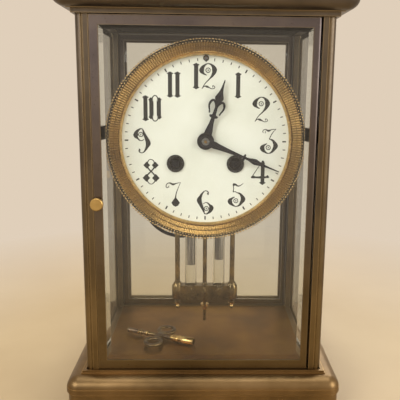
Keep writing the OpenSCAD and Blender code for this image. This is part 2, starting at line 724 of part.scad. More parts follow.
module escape_wheel() color("#b8984f") {
    facing(escape_p, inner_y + escape_t + wheel_h) difference() {
        linear_extrude(wheel_h) polygon([for (i = [0:escape_teeth - 1], k = [0:2])
            polar(k == 0 ? escape_r : escape_r - 1.1,
                (i + [0, 0.15, 0.6][k]) * 360 / escape_teeth)]);
        translate([0, 0, -1]) difference() {
            cylinder(r = escape_r - 2, h = wheel_h + 2);
            cylinder(r = 1.8, h = wheel_h + 2);
            for (a = [0:90:270]) rotate(a) translate([0, -0.4, 0]) cube([escape_r, 0.8, wheel_h + 2]);
        }
    }
    facing(escape_p, inner_y + third_t + 1.8) linear_extrude(pinion_h)
        pinion_outline(escape_leaves, third_m, gap_phase(third_p, escape_p, escape_leaves));
    arbor(escape_p, leaf_core(escape_leaves, third_m));
}

// The pallets over the escape wheel, their arbor, and the crutch behind the back plate
module anchor() color("#8d939b") {
    swing_clear = 0.55;
    facing(anchor_p, inner_y + escape_t + wheel_h + 0.1) linear_extrude(wheel_h + 0.2) difference() {
        union() {
            circle(r = 2.2);
            for (s = [-1, 1]) polygon([[0, 1.6], [s * 1.8, 1.4], [s * 7.4, -3], [s * 7.8, -6.4],
                [s * 5.6, -6.4], [s * 4.6, -3.2], [0, -1.4]]);
        }
        translate(escape_p - anchor_p) circle(r = escape_r + swing_clear);
    }
    disc(anchor_p, back_y + 1.9, arbor_r, back_y + 1.9 - plate_y);
    facing([0, fork_z], back_y + 1.8) translate([-1, 0, 0]) cube([2, anchor_p[1] - fork_z, 1.2]);
    facing([0, fork_z], bob_y + 1.4) for (s = [-1, 1]) translate([s * 1.8 - 0.5, -2, 0])
        cube([1, 2, bob_y + 0.8 - back_y]);
    facing([0, fork_z], back_y + 1.8) translate([-2.3, -2, 0]) cube([4.6, 2.2, 1.2]);
}

module minute_wheel() color("#b8984f") difference() {
    union() {
        facing(minute_p, plate_y - 0.6) wheel(minute_teeth, cannon_m, gap_phase(centre_p, minute_p, minute_teeth), wheel_h);
        facing(minute_p, plate_y - 0.6) cylinder(r = 1.9, h = 2.2);
        facing(minute_p, plate_y - 2.6) linear_extrude(1.6)
            pinion_outline(minute_leaves, hour_m, bearing(minute_p, centre_p));
    }
    disc(minute_p, plate_y + 1, 0.9 + run_gap, 9);
}

module hour_wheel() color("#b8984f") difference() {
    union() {
        facing(centre_p, plate_y - 2.9)
            wheel(hour_teeth, hour_m, gap_phase(minute_p, centre_p, hour_teeth), wheel_h);
        disc(centre_p, plate_y - 2.9, hour_pipe_r, plate_y - 2.9 - hour_hand_y);
        disc(centre_p, hour_hand_y, hour_pipe_r - 0.4, hand_t);
    }
    disc(centre_p, plate_y + 1, cannon_r + run_gap, 20);
}

// ---- Striking train -------------------------------------------------------------------

module strike_wheel() color("#b8984f")
    train_wheel(second_p, second_teeth, second_m, inter_t, bearing(second_p, pin_p),
        barrel_leaves, barrel_m, barrel_gear_t - 0.3, gap_phase(strike_p, second_p, barrel_leaves));

module pin_wheel() color("#b8984f") {
    train_wheel(pin_p, pin_teeth, pin_m, pin_t, bearing(pin_p, locking_p),
        pin_leaves, second_m, inter_t - 0.8, gap_phase(second_p, pin_p, pin_leaves));
    for (i = [0:lift_pins - 1])
        disc(pin_p + polar(lift_pin_ring, (i + 0.5) * 360 / lift_pins), inner_y + pin_t + 3.4, lift_pin_r, 3);
}

module locking_wheel() color("#b8984f")
    train_wheel(locking_p, locking_teeth, locking_m, locking_t, bearing(locking_p, warning_p),
        locking_leaves, pin_m, pin_t - 0.8, gap_phase(pin_p, locking_p, locking_leaves));

module warning_wheel() color("#b8984f")
    train_wheel(warning_p, warning_teeth, warning_m, warning_t, bearing(warning_p, fly_p),
        warning_leaves, locking_m, locking_t - 0.8, gap_phase(locking_p, warning_p, warning_leaves));

module fly() color("#b8984f") {
    facing(fly_p, inner_y + warning_t + 1.8) linear_extrude(pinion_h)
        pinion_outline(fly_leaves, warning_m, gap_phase(warning_p, fly_p, fly_leaves));
    arbor(fly_p, leaf_core(fly_leaves, warning_m));
    facing(fly_p, inner_y + 18) translate([-3.8, -0.2, 0]) cube([7.6, 0.4, 12]);
}

gong_p = [-14, -47];
gong_step = 3.2;
gong_turns = 9;      // half turns
gong_r0 = 5;
gong_out = gong_r0 + (gong_turns - 1) * gong_step;
head_r = 3.4;
head_l = 7.4;
hammer_head = gong_p + polar(gong_out + gong_wire_r + 1 + head_l / 2, 132);

module hammer() color("#8d939b") {
    disc(hammer_p, back_y + 4, arbor_r, back_y + 4 - plate_y);
    facing(hammer_p, inner_y + pin_t + 3.2) rotate(bearing(hammer_p, pin_p))
        translate([0, -0.5, 0]) cube([norm(pin_p - hammer_p) - lift_pin_ring - lift_pin_r - 0.5, 1, 1.4]);
    facing(hammer_p, back_y + 3.8) rotate(bearing(hammer_p, hammer_head)) {
        translate([0, -1.1, 0]) cube([norm(hammer_head - hammer_p), 2.2, 1.3]);
        cylinder(r = 2.4, h = 1.3);
    }
    disc(hammer_head, gong_y + 3, 1.2, gong_y + 3 - back_y - 2.5);
    facing(hammer_head, gong_y) rotate(bearing(hammer_head, gong_p)) rotate([0, 90, 0])
        translate([0, 0, -head_l / 2]) cylinder(r = head_r, h = head_l);
}

// A flat spiral of half turns about two centres, so that each runs on from the last
module gong() color("#4a4f58") for (i = [0:gong_turns - 1])
    facing(gong_p + [(i % 2 == 0 ? 0 : -gong_step), 0], gong_y) rotate(i % 2 == 0 ? 0 : 180)
        rotate_extrude(angle = 180) translate([gong_r0 + i * gong_step, 0]) circle(r = gong_wire_r);

module gong_stand() color("#6b6250") {
    top = gong_p + [0, 14];
    arm_y = gong_y - gong_wire_r - 1;
    disc(top, arm_y, 3, arm_y - back_y);
    facing(gong_p, arm_y) translate([-3, -3, 0]) cube([6, 17, 2]);
    disc(gong_p, gong_y + 2.4, gong_r0 - gong_wire_r - run_gap, gong_y + 2.4 - arm_y);
}

// ---- Suspension and pendulum ----------------------------------------------------------

slider_z = 44;
slider_h = 4;
hook_pin_r = 0.9;

module suspension_cock() color("#a98b4e") difference() {
    union() {
        facing([0, 0], back_y + 1.2) translate([-8, 38.6, 0]) cube([16, 14.4, 1.2]);
        facing([0, 0], bob_y + 4) for (s = [-1, 1]) translate([s * 7 - 1, 40, 0])
            cube([2, 13, bob_y + 4 - back_y]);
        facing([0, 0], bob_y + 4) translate([-8, 51.2, 0]) cube([16, 1.8, bob_y + 4 - back_y]);
    }
    disc(regulator_p, back_y + 3, 0.8 + run_gap, 6);
}

// The slider, the two spring blades, and the block with the pin that the pendulum hangs on
module suspension_spring() color("#9aa0a8") {
    facing([0, 0], bob_y + 2.4) translate([-5.6, slider_z, 0]) cube([11.2, slider_h, 4.8]);
    for (s = [-1, 1]) facing([0, 0], bob_y + 0.1) translate([s * 2 - 0.9, anchor_p[1] + 1.5, 0])
        cube([1.8, slider_z - anchor_p[1] - 1.5, 0.2]);
    facing([0, 0], bob_y + 1) translate([-3.4, anchor_p[1] - 1.5, 0]) cube([6.8, 3.2, 2]);
    disc(anchor_p, bob_y + 2.6, hook_pin_r, 5.2);
}

module regulator_arbor() color("#9aa0a8") {
    disc(regulator_p, back_y + 2.2, 0.8, back_y + 2.2 - enamel_y - 1.2);
    facing(regulator_p, enamel_y + 1.2) rotate(45) cylinder(r = 0.95, h = 1.4, $fn = 4);
}

module finial(x, z, s) translate([x, bob_y, dial_z + z]) {
    translate([0, 0, -1.6]) cylinder(r = 1.3 * s, h = 1.6);
    translate([0, 0, -2.6]) cylinder(r = 2.3 * s, h = 1);
    translate([0, 0, -5.2]) cylinder(r1 = 1 * s, r2 = 1.6 * s, h = 2.6);
    translate([0, 0, -6.4]) sphere(r = 1.5 * s);
}

module pendulum_frame() color("#7d6d4c") difference() {
    union() {
        for (y = [bob_y + 2.4, bob_y - 1.3]) facing([0, 0], y) translate([-1.8, 31, 0]) cube([3.6, 7, 1.1]);
        facing([0, 0], bob_y + 2.4) translate([-1.8, 30, 0]) cube([3.6, 3.2, 4.8]);
        translate([0, bob_y, dial_z + frame_top - 1]) cylinder(r = 1.1, h = 32 - frame_top);
        translate([0, bob_y, dial_z + tray_top - 1]) cylinder(r = centre_rod_r, h = frame_top - tray_top);
        facing([0, 0], bob_y + 4) translate([-rod_x - 2.4, frame_top - frame_bar, 0])
            cube([2 * rod_x + 4.8, frame_bar, 8]);
        for (s = [-1, 1]) {
            translate([s * rod_x, bob_y, dial_z + tray_top - 1])
                cylinder(r = rod_r, h = frame_top - tray_top);
            finial(s * rod_x, tray_top - tray_h, 0.9);
        }
        translate([0, bob_y, dial_z + tray_top - tray_h]) linear_extrude(tray_h) {
            square([tray_w - tray_d, tray_d], center = true);
            for (s = [-1, 1]) translate([s * (tray_w - tray_d) / 2, 0]) circle(d = tray_d);
        }
        translate([0, bob_y, dial_z + tail_z]) cylinder(r = 1, h = tray_top - tray_h - tail_z + 1);
    }
    disc(anchor_p, bob_y + 4, hook_pin_r + run_gap, 8);
    for (s = [-1, 1]) {
        translate([s * vial_x, bob_y, dial_z + tray_top - vial_seat])
            cylinder(r = vial_r + run_gap, h = vial_seat + 1);
        translate([s * vial_x, bob_y, dial_z + frame_top - frame_bar - 1])
            cylinder(r = vial_r + run_gap, h = vial_cap + 1);
    }
}

vial_z0 = dial_z + tray_top - vial_seat;
vial_z1 = dial_z + frame_top - frame_bar + vial_cap;

module pendulum_vials() color("#d5e6e2", 0.4) for (s = [-1, 1]) translate([s * vial_x, bob_y, 0])
    difference() {
        translate([0, 0, vial_z0]) cylinder(r = vial_r, h = vial_z1 - vial_z0);
        translate([0, 0, vial_z0 + 1]) cylinder(r = vial_r - 0.8, h = vial_z1 - vial_z0);
    }

// The two metal cylinders hang from the frame's bar, the left one a little longer
module vial_cylinders() color("#77757a") for (s = [[-1, -91], [1, -87]])
    translate([s[0] * vial_x, bob_y, dial_z + s[1]]) cylinder(r = vial_r - 1.2, h = vial_z1 - dial_z - s[1]);

module rating_nut() color("#b89a5a") difference() {
    union() {
        translate([0, bob_y, dial_z + nut_z - 0.6]) cylinder(r = 2.9, h = 1.2);
        translate([0, bob_y, dial_z + nut_z - 3.6]) cylinder(r1 = 1.4, r2 = 1.9, h = 3);
    }
    translate([0, bob_y, dial_z + nut_z - 5]) cylinder(r = 1 + run_gap, h = 9);
}

// ---- Winding key ----------------------------------------------------------------------

key_p = [-30.3, front_y + 41.7];
sleeve_r = 2.7;
loop_at = 10.2;
loop_r = 6.6;
loop_hole = 3.9;
loop_t = 2.2;

module winding_key() color("#6d5a3c") translate([key_p[0], key_p[1], floor_z + floor_t + sleeve_r])
    rotate(key_turn) {
        difference() {
            rotate([0, 90, 0]) cylinder(r = sleeve_r, h = key_l);
            translate([key_l - 9, 0, 0]) rotate([0, 90, 0]) rotate(45)
                cylinder(r = (square_r + 0.12) * sqrt(2) * 0.8, h = 10, $fn = 4);
        }
        rotate([0, -90, 0]) cylinder(r = 1.7, h = key_l);
        for (x = [8.6, 10.4, 12.2]) translate([x, 0, 0]) rotate([0, 90, 0]) cylinder(r = sleeve_r, h = 0.9);
        translate([-3.4, -4.6, -loop_t / 2]) cube([6.8, 9.2, loop_t]);
        for (s = [-1, 1]) translate([0, s * loop_at, -loop_t / 2]) difference() {
            cylinder(r = loop_r, h = loop_t);
            translate([0, 0, -1]) cylinder(r = loop_hole, h = loop_t + 2);
        }
    }

// ---- One line for each node -----------------------------------------------------------

base_plinth();
floor_plate();
post_front_left();
post_front_right();
post_rear_left();
post_rear_right();
cornice();
ceiling_plate();
case_screws();
side_glass_left();
side_glass_right();
front_door_frame();
front_door_glass();
front_hinge_pins();
front_latch();
rear_door_frame();
rear_door_glass();
rear_hinge_pins();
rear_latch();
movement_brackets();
bezel();
dial_pan();
dial();
dial_grommets();
hour_hand();
minute_hand();
hand_collet();
front_plate();
back_plate();
plate_pillars();
going_barrel();
going_mainspring();
going_arbor();
going_click();
intermediate_wheel();
centre_wheel();
third_wheel();
escape_wheel();
anchor();
minute_wheel();
hour_wheel();
strike_barrel();
strike_mainspring();
strike_arbor();
strike_click();
strike_wheel();
pin_wheel();
locking_wheel();
warning_wheel();
fly();
hammer();
gong();
gong_stand();
suspension_cock();
suspension_spring();
regulator_arbor();
pendulum_frame();
pendulum_vials();
vial_cylinders();
rating_nut();
winding_key();
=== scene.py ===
# %% [markdown]
# # A four-glass mantel clock
# A small brass case with bevelled glass on all four sides, two hinged doors, a round striking
# movement behind an enamel dial, and a pendulum that carries two glass tubes. The shapes that
# decide how the clock goes together come ready made, as fixed nodes. This lesson gives them
# their finishes and models the fine work on top: turned and milled rings, painted figures,
# pierced hands and eased edges.

# %% The fixed nodes
import json
import math
import bpy
import bmesh
from mathutils import Matrix, Vector


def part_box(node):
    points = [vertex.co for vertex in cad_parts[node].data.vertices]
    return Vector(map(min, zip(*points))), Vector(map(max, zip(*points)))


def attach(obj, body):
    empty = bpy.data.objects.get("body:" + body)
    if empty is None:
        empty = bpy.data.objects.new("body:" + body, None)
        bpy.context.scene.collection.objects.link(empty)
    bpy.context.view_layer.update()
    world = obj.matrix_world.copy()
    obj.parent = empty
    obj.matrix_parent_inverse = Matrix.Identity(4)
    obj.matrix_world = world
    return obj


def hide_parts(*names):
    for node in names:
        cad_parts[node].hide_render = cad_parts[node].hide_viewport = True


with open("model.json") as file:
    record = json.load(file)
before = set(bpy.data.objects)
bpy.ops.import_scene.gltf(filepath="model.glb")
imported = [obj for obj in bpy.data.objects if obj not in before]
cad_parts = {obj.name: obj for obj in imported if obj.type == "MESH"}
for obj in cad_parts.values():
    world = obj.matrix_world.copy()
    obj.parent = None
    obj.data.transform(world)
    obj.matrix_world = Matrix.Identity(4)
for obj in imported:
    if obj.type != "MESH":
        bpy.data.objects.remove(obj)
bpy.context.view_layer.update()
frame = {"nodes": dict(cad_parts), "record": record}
nodes = frame["nodes"]
MM = 0.001

# %% [markdown]
# Almost everything is laid out from a few places: the middle of the dial, the floor of the
# case and the plane of the pendulum. They are read from the nodes, so that every new piece
# lands where the clock's own parts are.

# %% Places to measure from
dial_low, dial_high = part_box("dial")
dial_middle = Vector(((dial_low.x + dial_high.x) / 2, dial_low.y, (dial_low.z + dial_high.z) / 2))
case_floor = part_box("post_front_left")[0].z
case_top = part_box("post_front_left")[1].z
case_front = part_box("post_front_left")[0].y
pendulum_y = (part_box("pendulum_vials")[0].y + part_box("pendulum_vials")[1].y) / 2
print("dial middle", [round(v / MM, 2) for v in dial_middle], "floor", round(case_floor / MM, 2),
      "top", round(case_top / MM, 2), "pendulum", round(pendulum_y / MM, 2))

# %% [markdown]
# ## Finishes
# A finish here is a small set of nodes. Two noises on Object coordinates are enough for most metal: a slow
# one moves the colour between its tones, as tarnish and polish do, and a fast one moves the roughness and
# lifts the surface a little. On the nickelled cylinders the slow one is stretched into streaks that paint
# reflections. Colours are written as on a paint card and turned into light values by one helper.

# %% Helpers for finishes
def tone(card):
    """A colour from a paint card's six letters, as light values."""
    parts = [int(card[i:i + 2], 16) / 255 for i in (0, 2, 4)]
    return tuple(c / 12.92 if c <= 0.04045 else ((c + 0.055) / 1.055) ** 2.4 for c in parts) + (1.0,)


def fresh(name):
    """An empty finish with its shader and output, ready for nodes."""
    finish = bpy.data.materials.new(name)
    finish.use_nodes = True
    tree = finish.node_tree
    tree.nodes.clear()
    shader = tree.nodes.new("ShaderNodeBsdfPrincipled")
    out = tree.nodes.new("ShaderNodeOutputMaterial")
    tree.links.new(shader.outputs[0], out.inputs[0])
    return finish, tree, shader


def place(tree, stretch=(1, 1, 1)):
    """Object coordinates, stretched along an axis for turned or brushed marks."""
    coords = tree.nodes.new("ShaderNodeTexCoord")
    mapping = tree.nodes.new("ShaderNodeMapping")
    mapping.inputs["Scale"].default_value = stretch
    tree.links.new(coords.outputs["Object"], mapping.inputs["Vector"])
    return mapping.outputs[0]


def cloud(tree, where, size_mm, detail=3.0, rough=0.55):
    """A noise whose blotches are about size_mm across."""
    noise = tree.nodes.new("ShaderNodeTexNoise")
    noise.inputs["Scale"].default_value = 1000.0 / size_mm
    noise.inputs["Detail"].default_value = detail
    noise.inputs["Roughness"].default_value = rough
    tree.links.new(where, noise.inputs["Vector"])
    return noise.outputs["Fac"]


def between(tree, value, low, high, start=0.3, end=0.7):
    """Maps a noise to a range."""
    spread = tree.nodes.new("ShaderNodeMapRange")
    spread.inputs["From Min"].default_value = start
    spread.inputs["From Max"].default_value = end
    spread.inputs["To Min"].default_value = low
    spread.inputs["To Max"].default_value = high
    tree.links.new(value, spread.inputs["Value"])
    return spread.outputs[0]


def tones(tree, value, cards, start=0.3, end=0.7):
    """Runs a value through colours, evenly spaced between start and end."""
    ramp = tree.nodes.new("ShaderNodeValToRGB")
    stops = ramp.color_ramp.elements
    while len(stops) < len(cards):
        stops.new(0.5)
    for i, card in enumerate(cards):
        stops[i].position = start + (end - start) * i / (len(cards) - 1)
        stops[i].color = tone(card)
    tree.links.new(value, ramp.inputs[0])
    return ramp.outputs[0]


def blend_colours(tree, share, first, second):
    """Mixes two colours by a share that varies over the surface."""
    mix = tree.nodes.new("ShaderNodeMix")
    mix.data_type = "RGBA"
    tree.links.new(share, mix.inputs[0])
    tree.links.new(first, mix.inputs[6])
    if isinstance(second, tuple):
        mix.inputs[7].default_value = second
    else:
        tree.links.new(second, mix.inputs[7])
    return mix.outputs[2]


def lift(tree, shader, height, strength, distance_mm):
    """Raises the surface by a height."""
    bump = tree.nodes.new("ShaderNodeBump")
    bump.inputs["Strength"].default_value = strength
    bump.inputs["Distance"].default_value = distance_mm * MM
    tree.links.new(height, bump.inputs["Height"])
    tree.links.new(bump.outputs[0], shader.inputs["Normal"])


def edge_share(tree, width_mm, reach):
    """Near 1 along sharp edges, 0 on flats: how far a rounded normal leans from the true one."""
    rounded = tree.nodes.new("ShaderNodeBevel")
    rounded.samples = 4
    rounded.inputs["Radius"].default_value = width_mm * MM
    shape = tree.nodes.new("ShaderNodeNewGeometry")
    dot = tree.nodes.new("ShaderNodeVectorMath")
    dot.operation = "DOT_PRODUCT"
    tree.links.new(rounded.outputs[0], dot.inputs[0])
    tree.links.new(shape.outputs["Normal"], dot.inputs[1])
    return between(tree, dot.outputs["Value"], reach, 0.0, 0.9, 0.995)


def metal(name, cards, patch_mm=14, rough=(0.25, 0.42), grain_mm=0.7, dents=0.05,
          stretch=(1, 1, 1), worn=None, metallic=1.0, high=None, painted_reflection_stretch=(1, 1, 1)):
    """A metal with patchy colour and uneven polish. worn is the colour of rubbed edges, and high the tones of
    a painted sheen that take over from the lower ones near the top of the case."""
    finish, tree, shader = fresh(name)
    # The colour's noise can be stretched along an axis. On the cylinders, its dark and bright streaks are
    # painted reflections.
    where = place(tree, painted_reflection_stretch)
    colour = tones(tree, cloud(tree, where, patch_mm), cards)
    # The high tones are a painted sheen: above a certain height the brass turns greyer and purplish.
    if high:
        parts = tree.nodes.new("ShaderNodeSeparateXYZ")
        tree.links.new(where, parts.inputs[0])
        top_sheen_share = between(tree, parts.outputs["Z"], 0.0, 1.0, 0.07, 0.20)
        colour = blend_colours(tree, top_sheen_share, colour, tones(tree, cloud(tree, where, patch_mm * 0.8), high))
    if worn:
        colour = blend_colours(tree, edge_share(tree, 0.8, 0.75), colour, tone(worn))
    tree.links.new(colour, shader.inputs["Base Color"])
    shader.inputs["Metallic"].default_value = metallic
    fine = cloud(tree, place(tree, stretch), grain_mm, 4.0, 0.6)
    tree.links.new(between(tree, fine, *rough), shader.inputs["Roughness"])
    lift(tree, shader, fine, dents, 0.2)
    return finish

# %% [markdown]
# ### Brass in several states
# One clock holds brass in many conditions. The case has gone brown under old lacquer and is rubbed paler on
# its corners; the bezel keeps its gilding; the movement inside is cleaner and brushed; the floor of the case
# is a polished plate with darker stains. The same recipe makes each of them, with other tones, polish and
# marks. Some of the tones are painted light and shade: a greyer sheen near the top of the case and doors,
# near-black shade on the bezel's body, the ceiling plate and the winding arbors, and pale highlights on the
# bezel's beads, the finials and the rating nut.

# %% The metals
# The case and door brass carry a painted sheen near the top, in their high tones.
case_brass = metal("aged case brass with painted top sheen", ["574730", "6c5a3c", "7b6746"], 34, (0.30, 0.46), 0.8, 0.07,
                   worn="a58c62",
                   high=["524a41", "61574b", "6c6153"])
door_brass = metal("aged door brass with painted top sheen", ["52452f", "625238", "6f5e42"], 40, (0.26, 0.40), 0.8, 0.05,
                   worn="94805e",
                   high=["5c5556", "696160", "756b65"])
base_brass = metal("rubbed base brass", ["604e35", "7c6544", "8f7653"], 34, (0.30, 0.44), 0.9, 0.07,
                   worn="b39361")
floor_brass = metal("worn floor brass", ["61411b", "7c5524", "8d662b"], 30, (0.34, 0.50), 1.2, 0.05)
gilt_brass = metal("gilt bezel brass", ["7a6039", "917344", "a27e45"], 18, (0.26, 0.38), 0.5, 0.05)
# Near-black gilt for the bezel's body: painted shade between the beads and round the milled band.
shaded_bezel_gilt = metal("bezel gilding darkened as painted shade", ["20180e", "2e2314"], 8, (0.5, 0.65), 0.5, 0.05)
# Pale gilt for the beads: a painted highlight on each bead.
highlit_bead_gilt = metal("gilt beads lightened as painted highlight", ["cfb078", "ecd09a"], 10, (0.2, 0.3), 0.5, 0.03)
sight_brass = metal("bright sight-ring brass", ["bd9a60", "d6b478"], 9, (0.20, 0.30), 0.6, 0.03)
# Near-black brass for the ceiling plate: painted shade under the cornice.
shaded_ceiling_brass = metal("ceiling brass darkened as painted shade", ["1d1c1a", "2b2823"], 20, (0.6, 0.8), 0.8, 0.1, metallic=0.4)
knob_brass = metal("turned knob brass", ["a98a52", "c9a868"], 5, (0.28, 0.40), 0.5, 0.05)
plate_brass = metal("brushed plate brass", ["97773f", "b08f52", "bf9e60"], 16, (0.22, 0.36), 0.5, 0.08,
                    (1, 1, 14))
wheel_brass = metal("polished wheel brass", ["a2803f", "be9a55"], 6, (0.16, 0.28), 0.4, 0.04)
pendulum_brass = metal("brown pendulum brass", ["5a4c3a", "7b6a4d", "937a50"], 8, (0.22, 0.36), 0.5, 0.05)
# Pale brass, lightened as a painted highlight on the pendulum's finials and rating nut; the key's barrel
# takes it too.
bright_brass = metal("finial brass lightened as painted highlight", ["b3935c", "e0be82"], 4, (0.16, 0.28), 0.4, 0.03)
key_brass = metal("tarnished key brass", ["4a3d35", "655446", "7a6742"], 7, (0.26, 0.42), 0.5, 0.08,
                  worn="b39560")
steel = metal("polished steel", ["7d8188", "a2a5aa"], 6, (0.18, 0.32), 0.4, 0.05, (1, 6, 1))
blued = metal("blued hand steel", ["16181f", "23252f", "2c2a35"], 4, (0.26, 0.38), 0.4, 0.03, metallic=0.7)
# Dark blued steel for the gong. On the winding arbors it is painted shade.
gong_and_shaded_arbor_steel = metal("blued gong wire, also arbors darkened as painted shade", ["17191f", "2a2d36"], 8, (0.28, 0.42), 0.5, 0.04)
# Vertical streaks from near black to near white: painted reflections on the nickelled cylinders.
tube_steel = metal("nickelled cylinder with painted reflection streaks", ["232227", "86838a", "dbd8d6"], 1.6, (0.16, 0.28), 0.5, 0.04,
                   painted_reflection_stretch=(1, 1, 0.03))
black_paint = metal("black ring enamel", ["101113", "1b1c1f"], 3, (0.22, 0.34), 0.4, 0.03, metallic=0.0)
# The plate under the cornice is painted as shade: near black, with its shine taken off
for shine in ("Specular IOR Level", "Metallic"):
    shaded_ceiling_brass.node_tree.nodes["Principled BSDF"].inputs[shine].default_value = 0.0
print("metals ready")

# %% [markdown]
# ### Enamel, paint and glass
# A dial is copper under fired glass: almost white, a touch warm, and glossy with a very slight
# ripple. The figures are fired paint, dark blue-black and less shiny. The panes are clear glass
# with a hint of green. Lamps would be stopped by refracting glass, so a Light Path node lets
# their shadow rays through, and the case is lit inside as a real one is.

# %% Enamel, figures and glass
def fired_enamel():
    finish, tree, shader = fresh("fired white enamel")
    where = place(tree)
    tree.links.new(tones(tree, cloud(tree, where, 30), ["e3e3d8", "ebebe2", "f0f0e9"]),
                   shader.inputs["Base Color"])
    ripple = cloud(tree, where, 6, 2.0)
    tree.links.new(between(tree, ripple, 0.10, 0.17), shader.inputs["Roughness"])
    shader.inputs["Specular IOR Level"].default_value = 0.5
    lift(tree, shader, ripple, 0.03, 0.2)
    return finish


def figure_paint():
    finish, tree, shader = fresh("fired figure paint")
    where = place(tree)
    tree.links.new(tones(tree, cloud(tree, where, 2), ["0b0e12", "14181d"]), shader.inputs["Base Color"])
    tree.links.new(between(tree, cloud(tree, where, 0.6), 0.3, 0.45), shader.inputs["Roughness"])
    return finish


def clear_glass(name, card, smear):
    finish, tree, shader = fresh(name)
    where = place(tree)
    shader.inputs["Base Color"].default_value = tone(card)
    shader.inputs["Transmission Weight"].default_value = 1.0
    shader.inputs["IOR"].default_value = 1.5
    wave = cloud(tree, where, 28, 2.0)
    tree.links.new(between(tree, wave, 0.0, smear), shader.inputs["Roughness"])
    lift(tree, shader, wave, 0.015, 1.0)
    rays = tree.nodes.new("ShaderNodeLightPath")
    open_air = tree.nodes.new("ShaderNodeBsdfTransparent")
    open_air.inputs[0].default_value = (0.93, 0.96, 0.94, 1)
    mix = tree.nodes.new("ShaderNodeMixShader")
    tree.links.new(rays.outputs["Is Shadow Ray"], mix.inputs[0])
    tree.links.new(shader.outputs[0], mix.inputs[1])
    tree.links.new(open_air.outputs[0], mix.inputs[2])
    tree.links.new(mix.outputs[0], tree.nodes["Material Output"].inputs[0])
    return finish


enamel = fired_enamel()
paint = figure_paint()
pane_glass = clear_glass("clear pane glass", "eef0ee", 0.008)
tube_glass = clear_glass("clear tube glass", "f8f8f5", 0.01)
print("enamel, paint and glass ready")

# %% [markdown]
# ## Giving the nodes their finishes
# A node whose shape is already right only needs its finish. The list below says which is
# which, and a check prints any node that was left out.

# %% Finishes on the nodes
finishes = {
    case_brass: ["post_front_left", "post_front_right", "post_rear_left", "post_rear_right", "cornice"],
    shaded_ceiling_brass: ["ceiling_plate"],
    base_brass: ["base_plinth"],
    floor_brass: ["floor_plate"],
    door_brass: ["front_door_frame", "rear_door_frame", "front_hinge_pins", "rear_hinge_pins",
                 "movement_brackets"],
    knob_brass: ["front_latch", "rear_latch"],
    pane_glass: ["side_glass_left", "side_glass_right", "front_door_glass", "rear_door_glass"],
    tube_glass: ["pendulum_vials"],
    tube_steel: ["vial_cylinders"],
    enamel: ["dial"],
    black_paint: ["dial_grommets"],
    gilt_brass: ["bezel"],
    blued: ["hour_hand", "minute_hand"],
    plate_brass: ["dial_pan", "front_plate", "back_plate", "plate_pillars", "going_barrel", "strike_barrel",
                  "suspension_cock", "gong_stand"],
    wheel_brass: ["intermediate_wheel", "centre_wheel", "third_wheel", "escape_wheel", "minute_wheel",
                  "hour_wheel", "strike_wheel", "pin_wheel", "locking_wheel", "warning_wheel", "fly"],
    steel: ["case_screws", "going_mainspring", "strike_mainspring", "going_click", "strike_click", "anchor",
            "hammer", "hand_collet", "suspension_spring",
            "regulator_arbor"],
    # The winding arbors take the dark gong steel as painted shade, so the winding holes read black.
    gong_and_shaded_arbor_steel: ["gong", "going_arbor", "strike_arbor"],
    pendulum_brass: ["pendulum_frame"],
    # The rating nut is lightened as a painted highlight.
    bright_brass: ["rating_nut"],
    key_brass: ["winding_key"],
}
finish_of = {}
for finish, names in finishes.items():
    for name in names:
        nodes[name].data.materials.clear()
        nodes[name].data.materials.append(finish)
        finish_of[name] = finish
print("without a finish:", sorted(set(nodes) - set(finish_of)))

# %% [markdown]
# ## Making pieces
# Three helpers make most of the new pieces. The first turns a bmesh into an object that rides
# on a body of the clock. The second eases the sharp edges of a node: a real casting or filed
# bar never ends in a knife edge, and the small bevel catches a line of light. The third turns
# a profile on a lathe.

# %% Helpers for pieces
def finish_piece(bm, name, body, finish, smooth=38):
    """Closes a bmesh into a piece that rides on a body."""
    mesh = bpy.data.meshes.new(name)
    bm.to_mesh(mesh)
    bm.free()
    mesh.shade_smooth()
    mesh.set_sharp_from_angle(angle=math.radians(smooth))
    mesh.materials.append(finish)
    piece = bpy.data.objects.new(name, mesh)
    bpy.context.scene.collection.objects.link(piece)
    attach(piece, body)
    return piece


body_of = {name: body for body, names in frame["record"]["behaviour"]["bodies"].items() for name in names}


def ease_edges(node, width_mm, steps=2, sharp=28):
    """Stands a copy of a node in its place, with its sharp edges bevelled."""
    bm = bmesh.new()
    bm.from_mesh(nodes[node].data)
    bmesh.ops.remove_doubles(bm, verts=bm.verts, dist=0.002 * MM)
    bmesh.ops.dissolve_limit(bm, angle_limit=math.radians(0.6), verts=bm.verts, edges=bm.edges)
    piece = finish_piece(bm, "eased_" + node, body_of[node], finish_of[node], sharp)
    bevel = piece.modifiers.new("eased edges", "BEVEL")
    bevel.width = width_mm * MM
    bevel.segments = steps
    bevel.limit_method = "ANGLE"
    bevel.angle_limit = math.radians(sharp)
    bevel.harden_normals = True
    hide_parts(node)
    return piece


def turned(profile, steps=48):
    """A bmesh turned round Z from a profile of (radius, height) in millimetres."""
    bm = bmesh.new()
    line = [bm.verts.new((r * MM, 0, h * MM)) for r, h in profile]
    for a, b in zip(line, line[1:]):
        bm.edges.new((a, b))
    bmesh.ops.spin(bm, geom=bm.verts[:] + bm.edges[:], cent=(0, 0, 0), axis=(0, 0, 1),
                   angle=math.tau, steps=steps, use_merge=True)
    bmesh.ops.remove_doubles(bm, verts=bm.verts, dist=0.001 * MM)
    bmesh.ops.recalc_face_normals(bm, faces=bm.faces)
    return bm


facing_us = Matrix.Rotation(math.radians(90), 4, "X")     # turns Z, the lathe's axis, to face -Y


def on_dial(x_mm, z_mm, out_mm=0.0):
    """A point in front of the dial, from its middle; out_mm is towards the viewer."""
    return dial_middle + Vector((x_mm, -out_mm, z_mm)) * MM


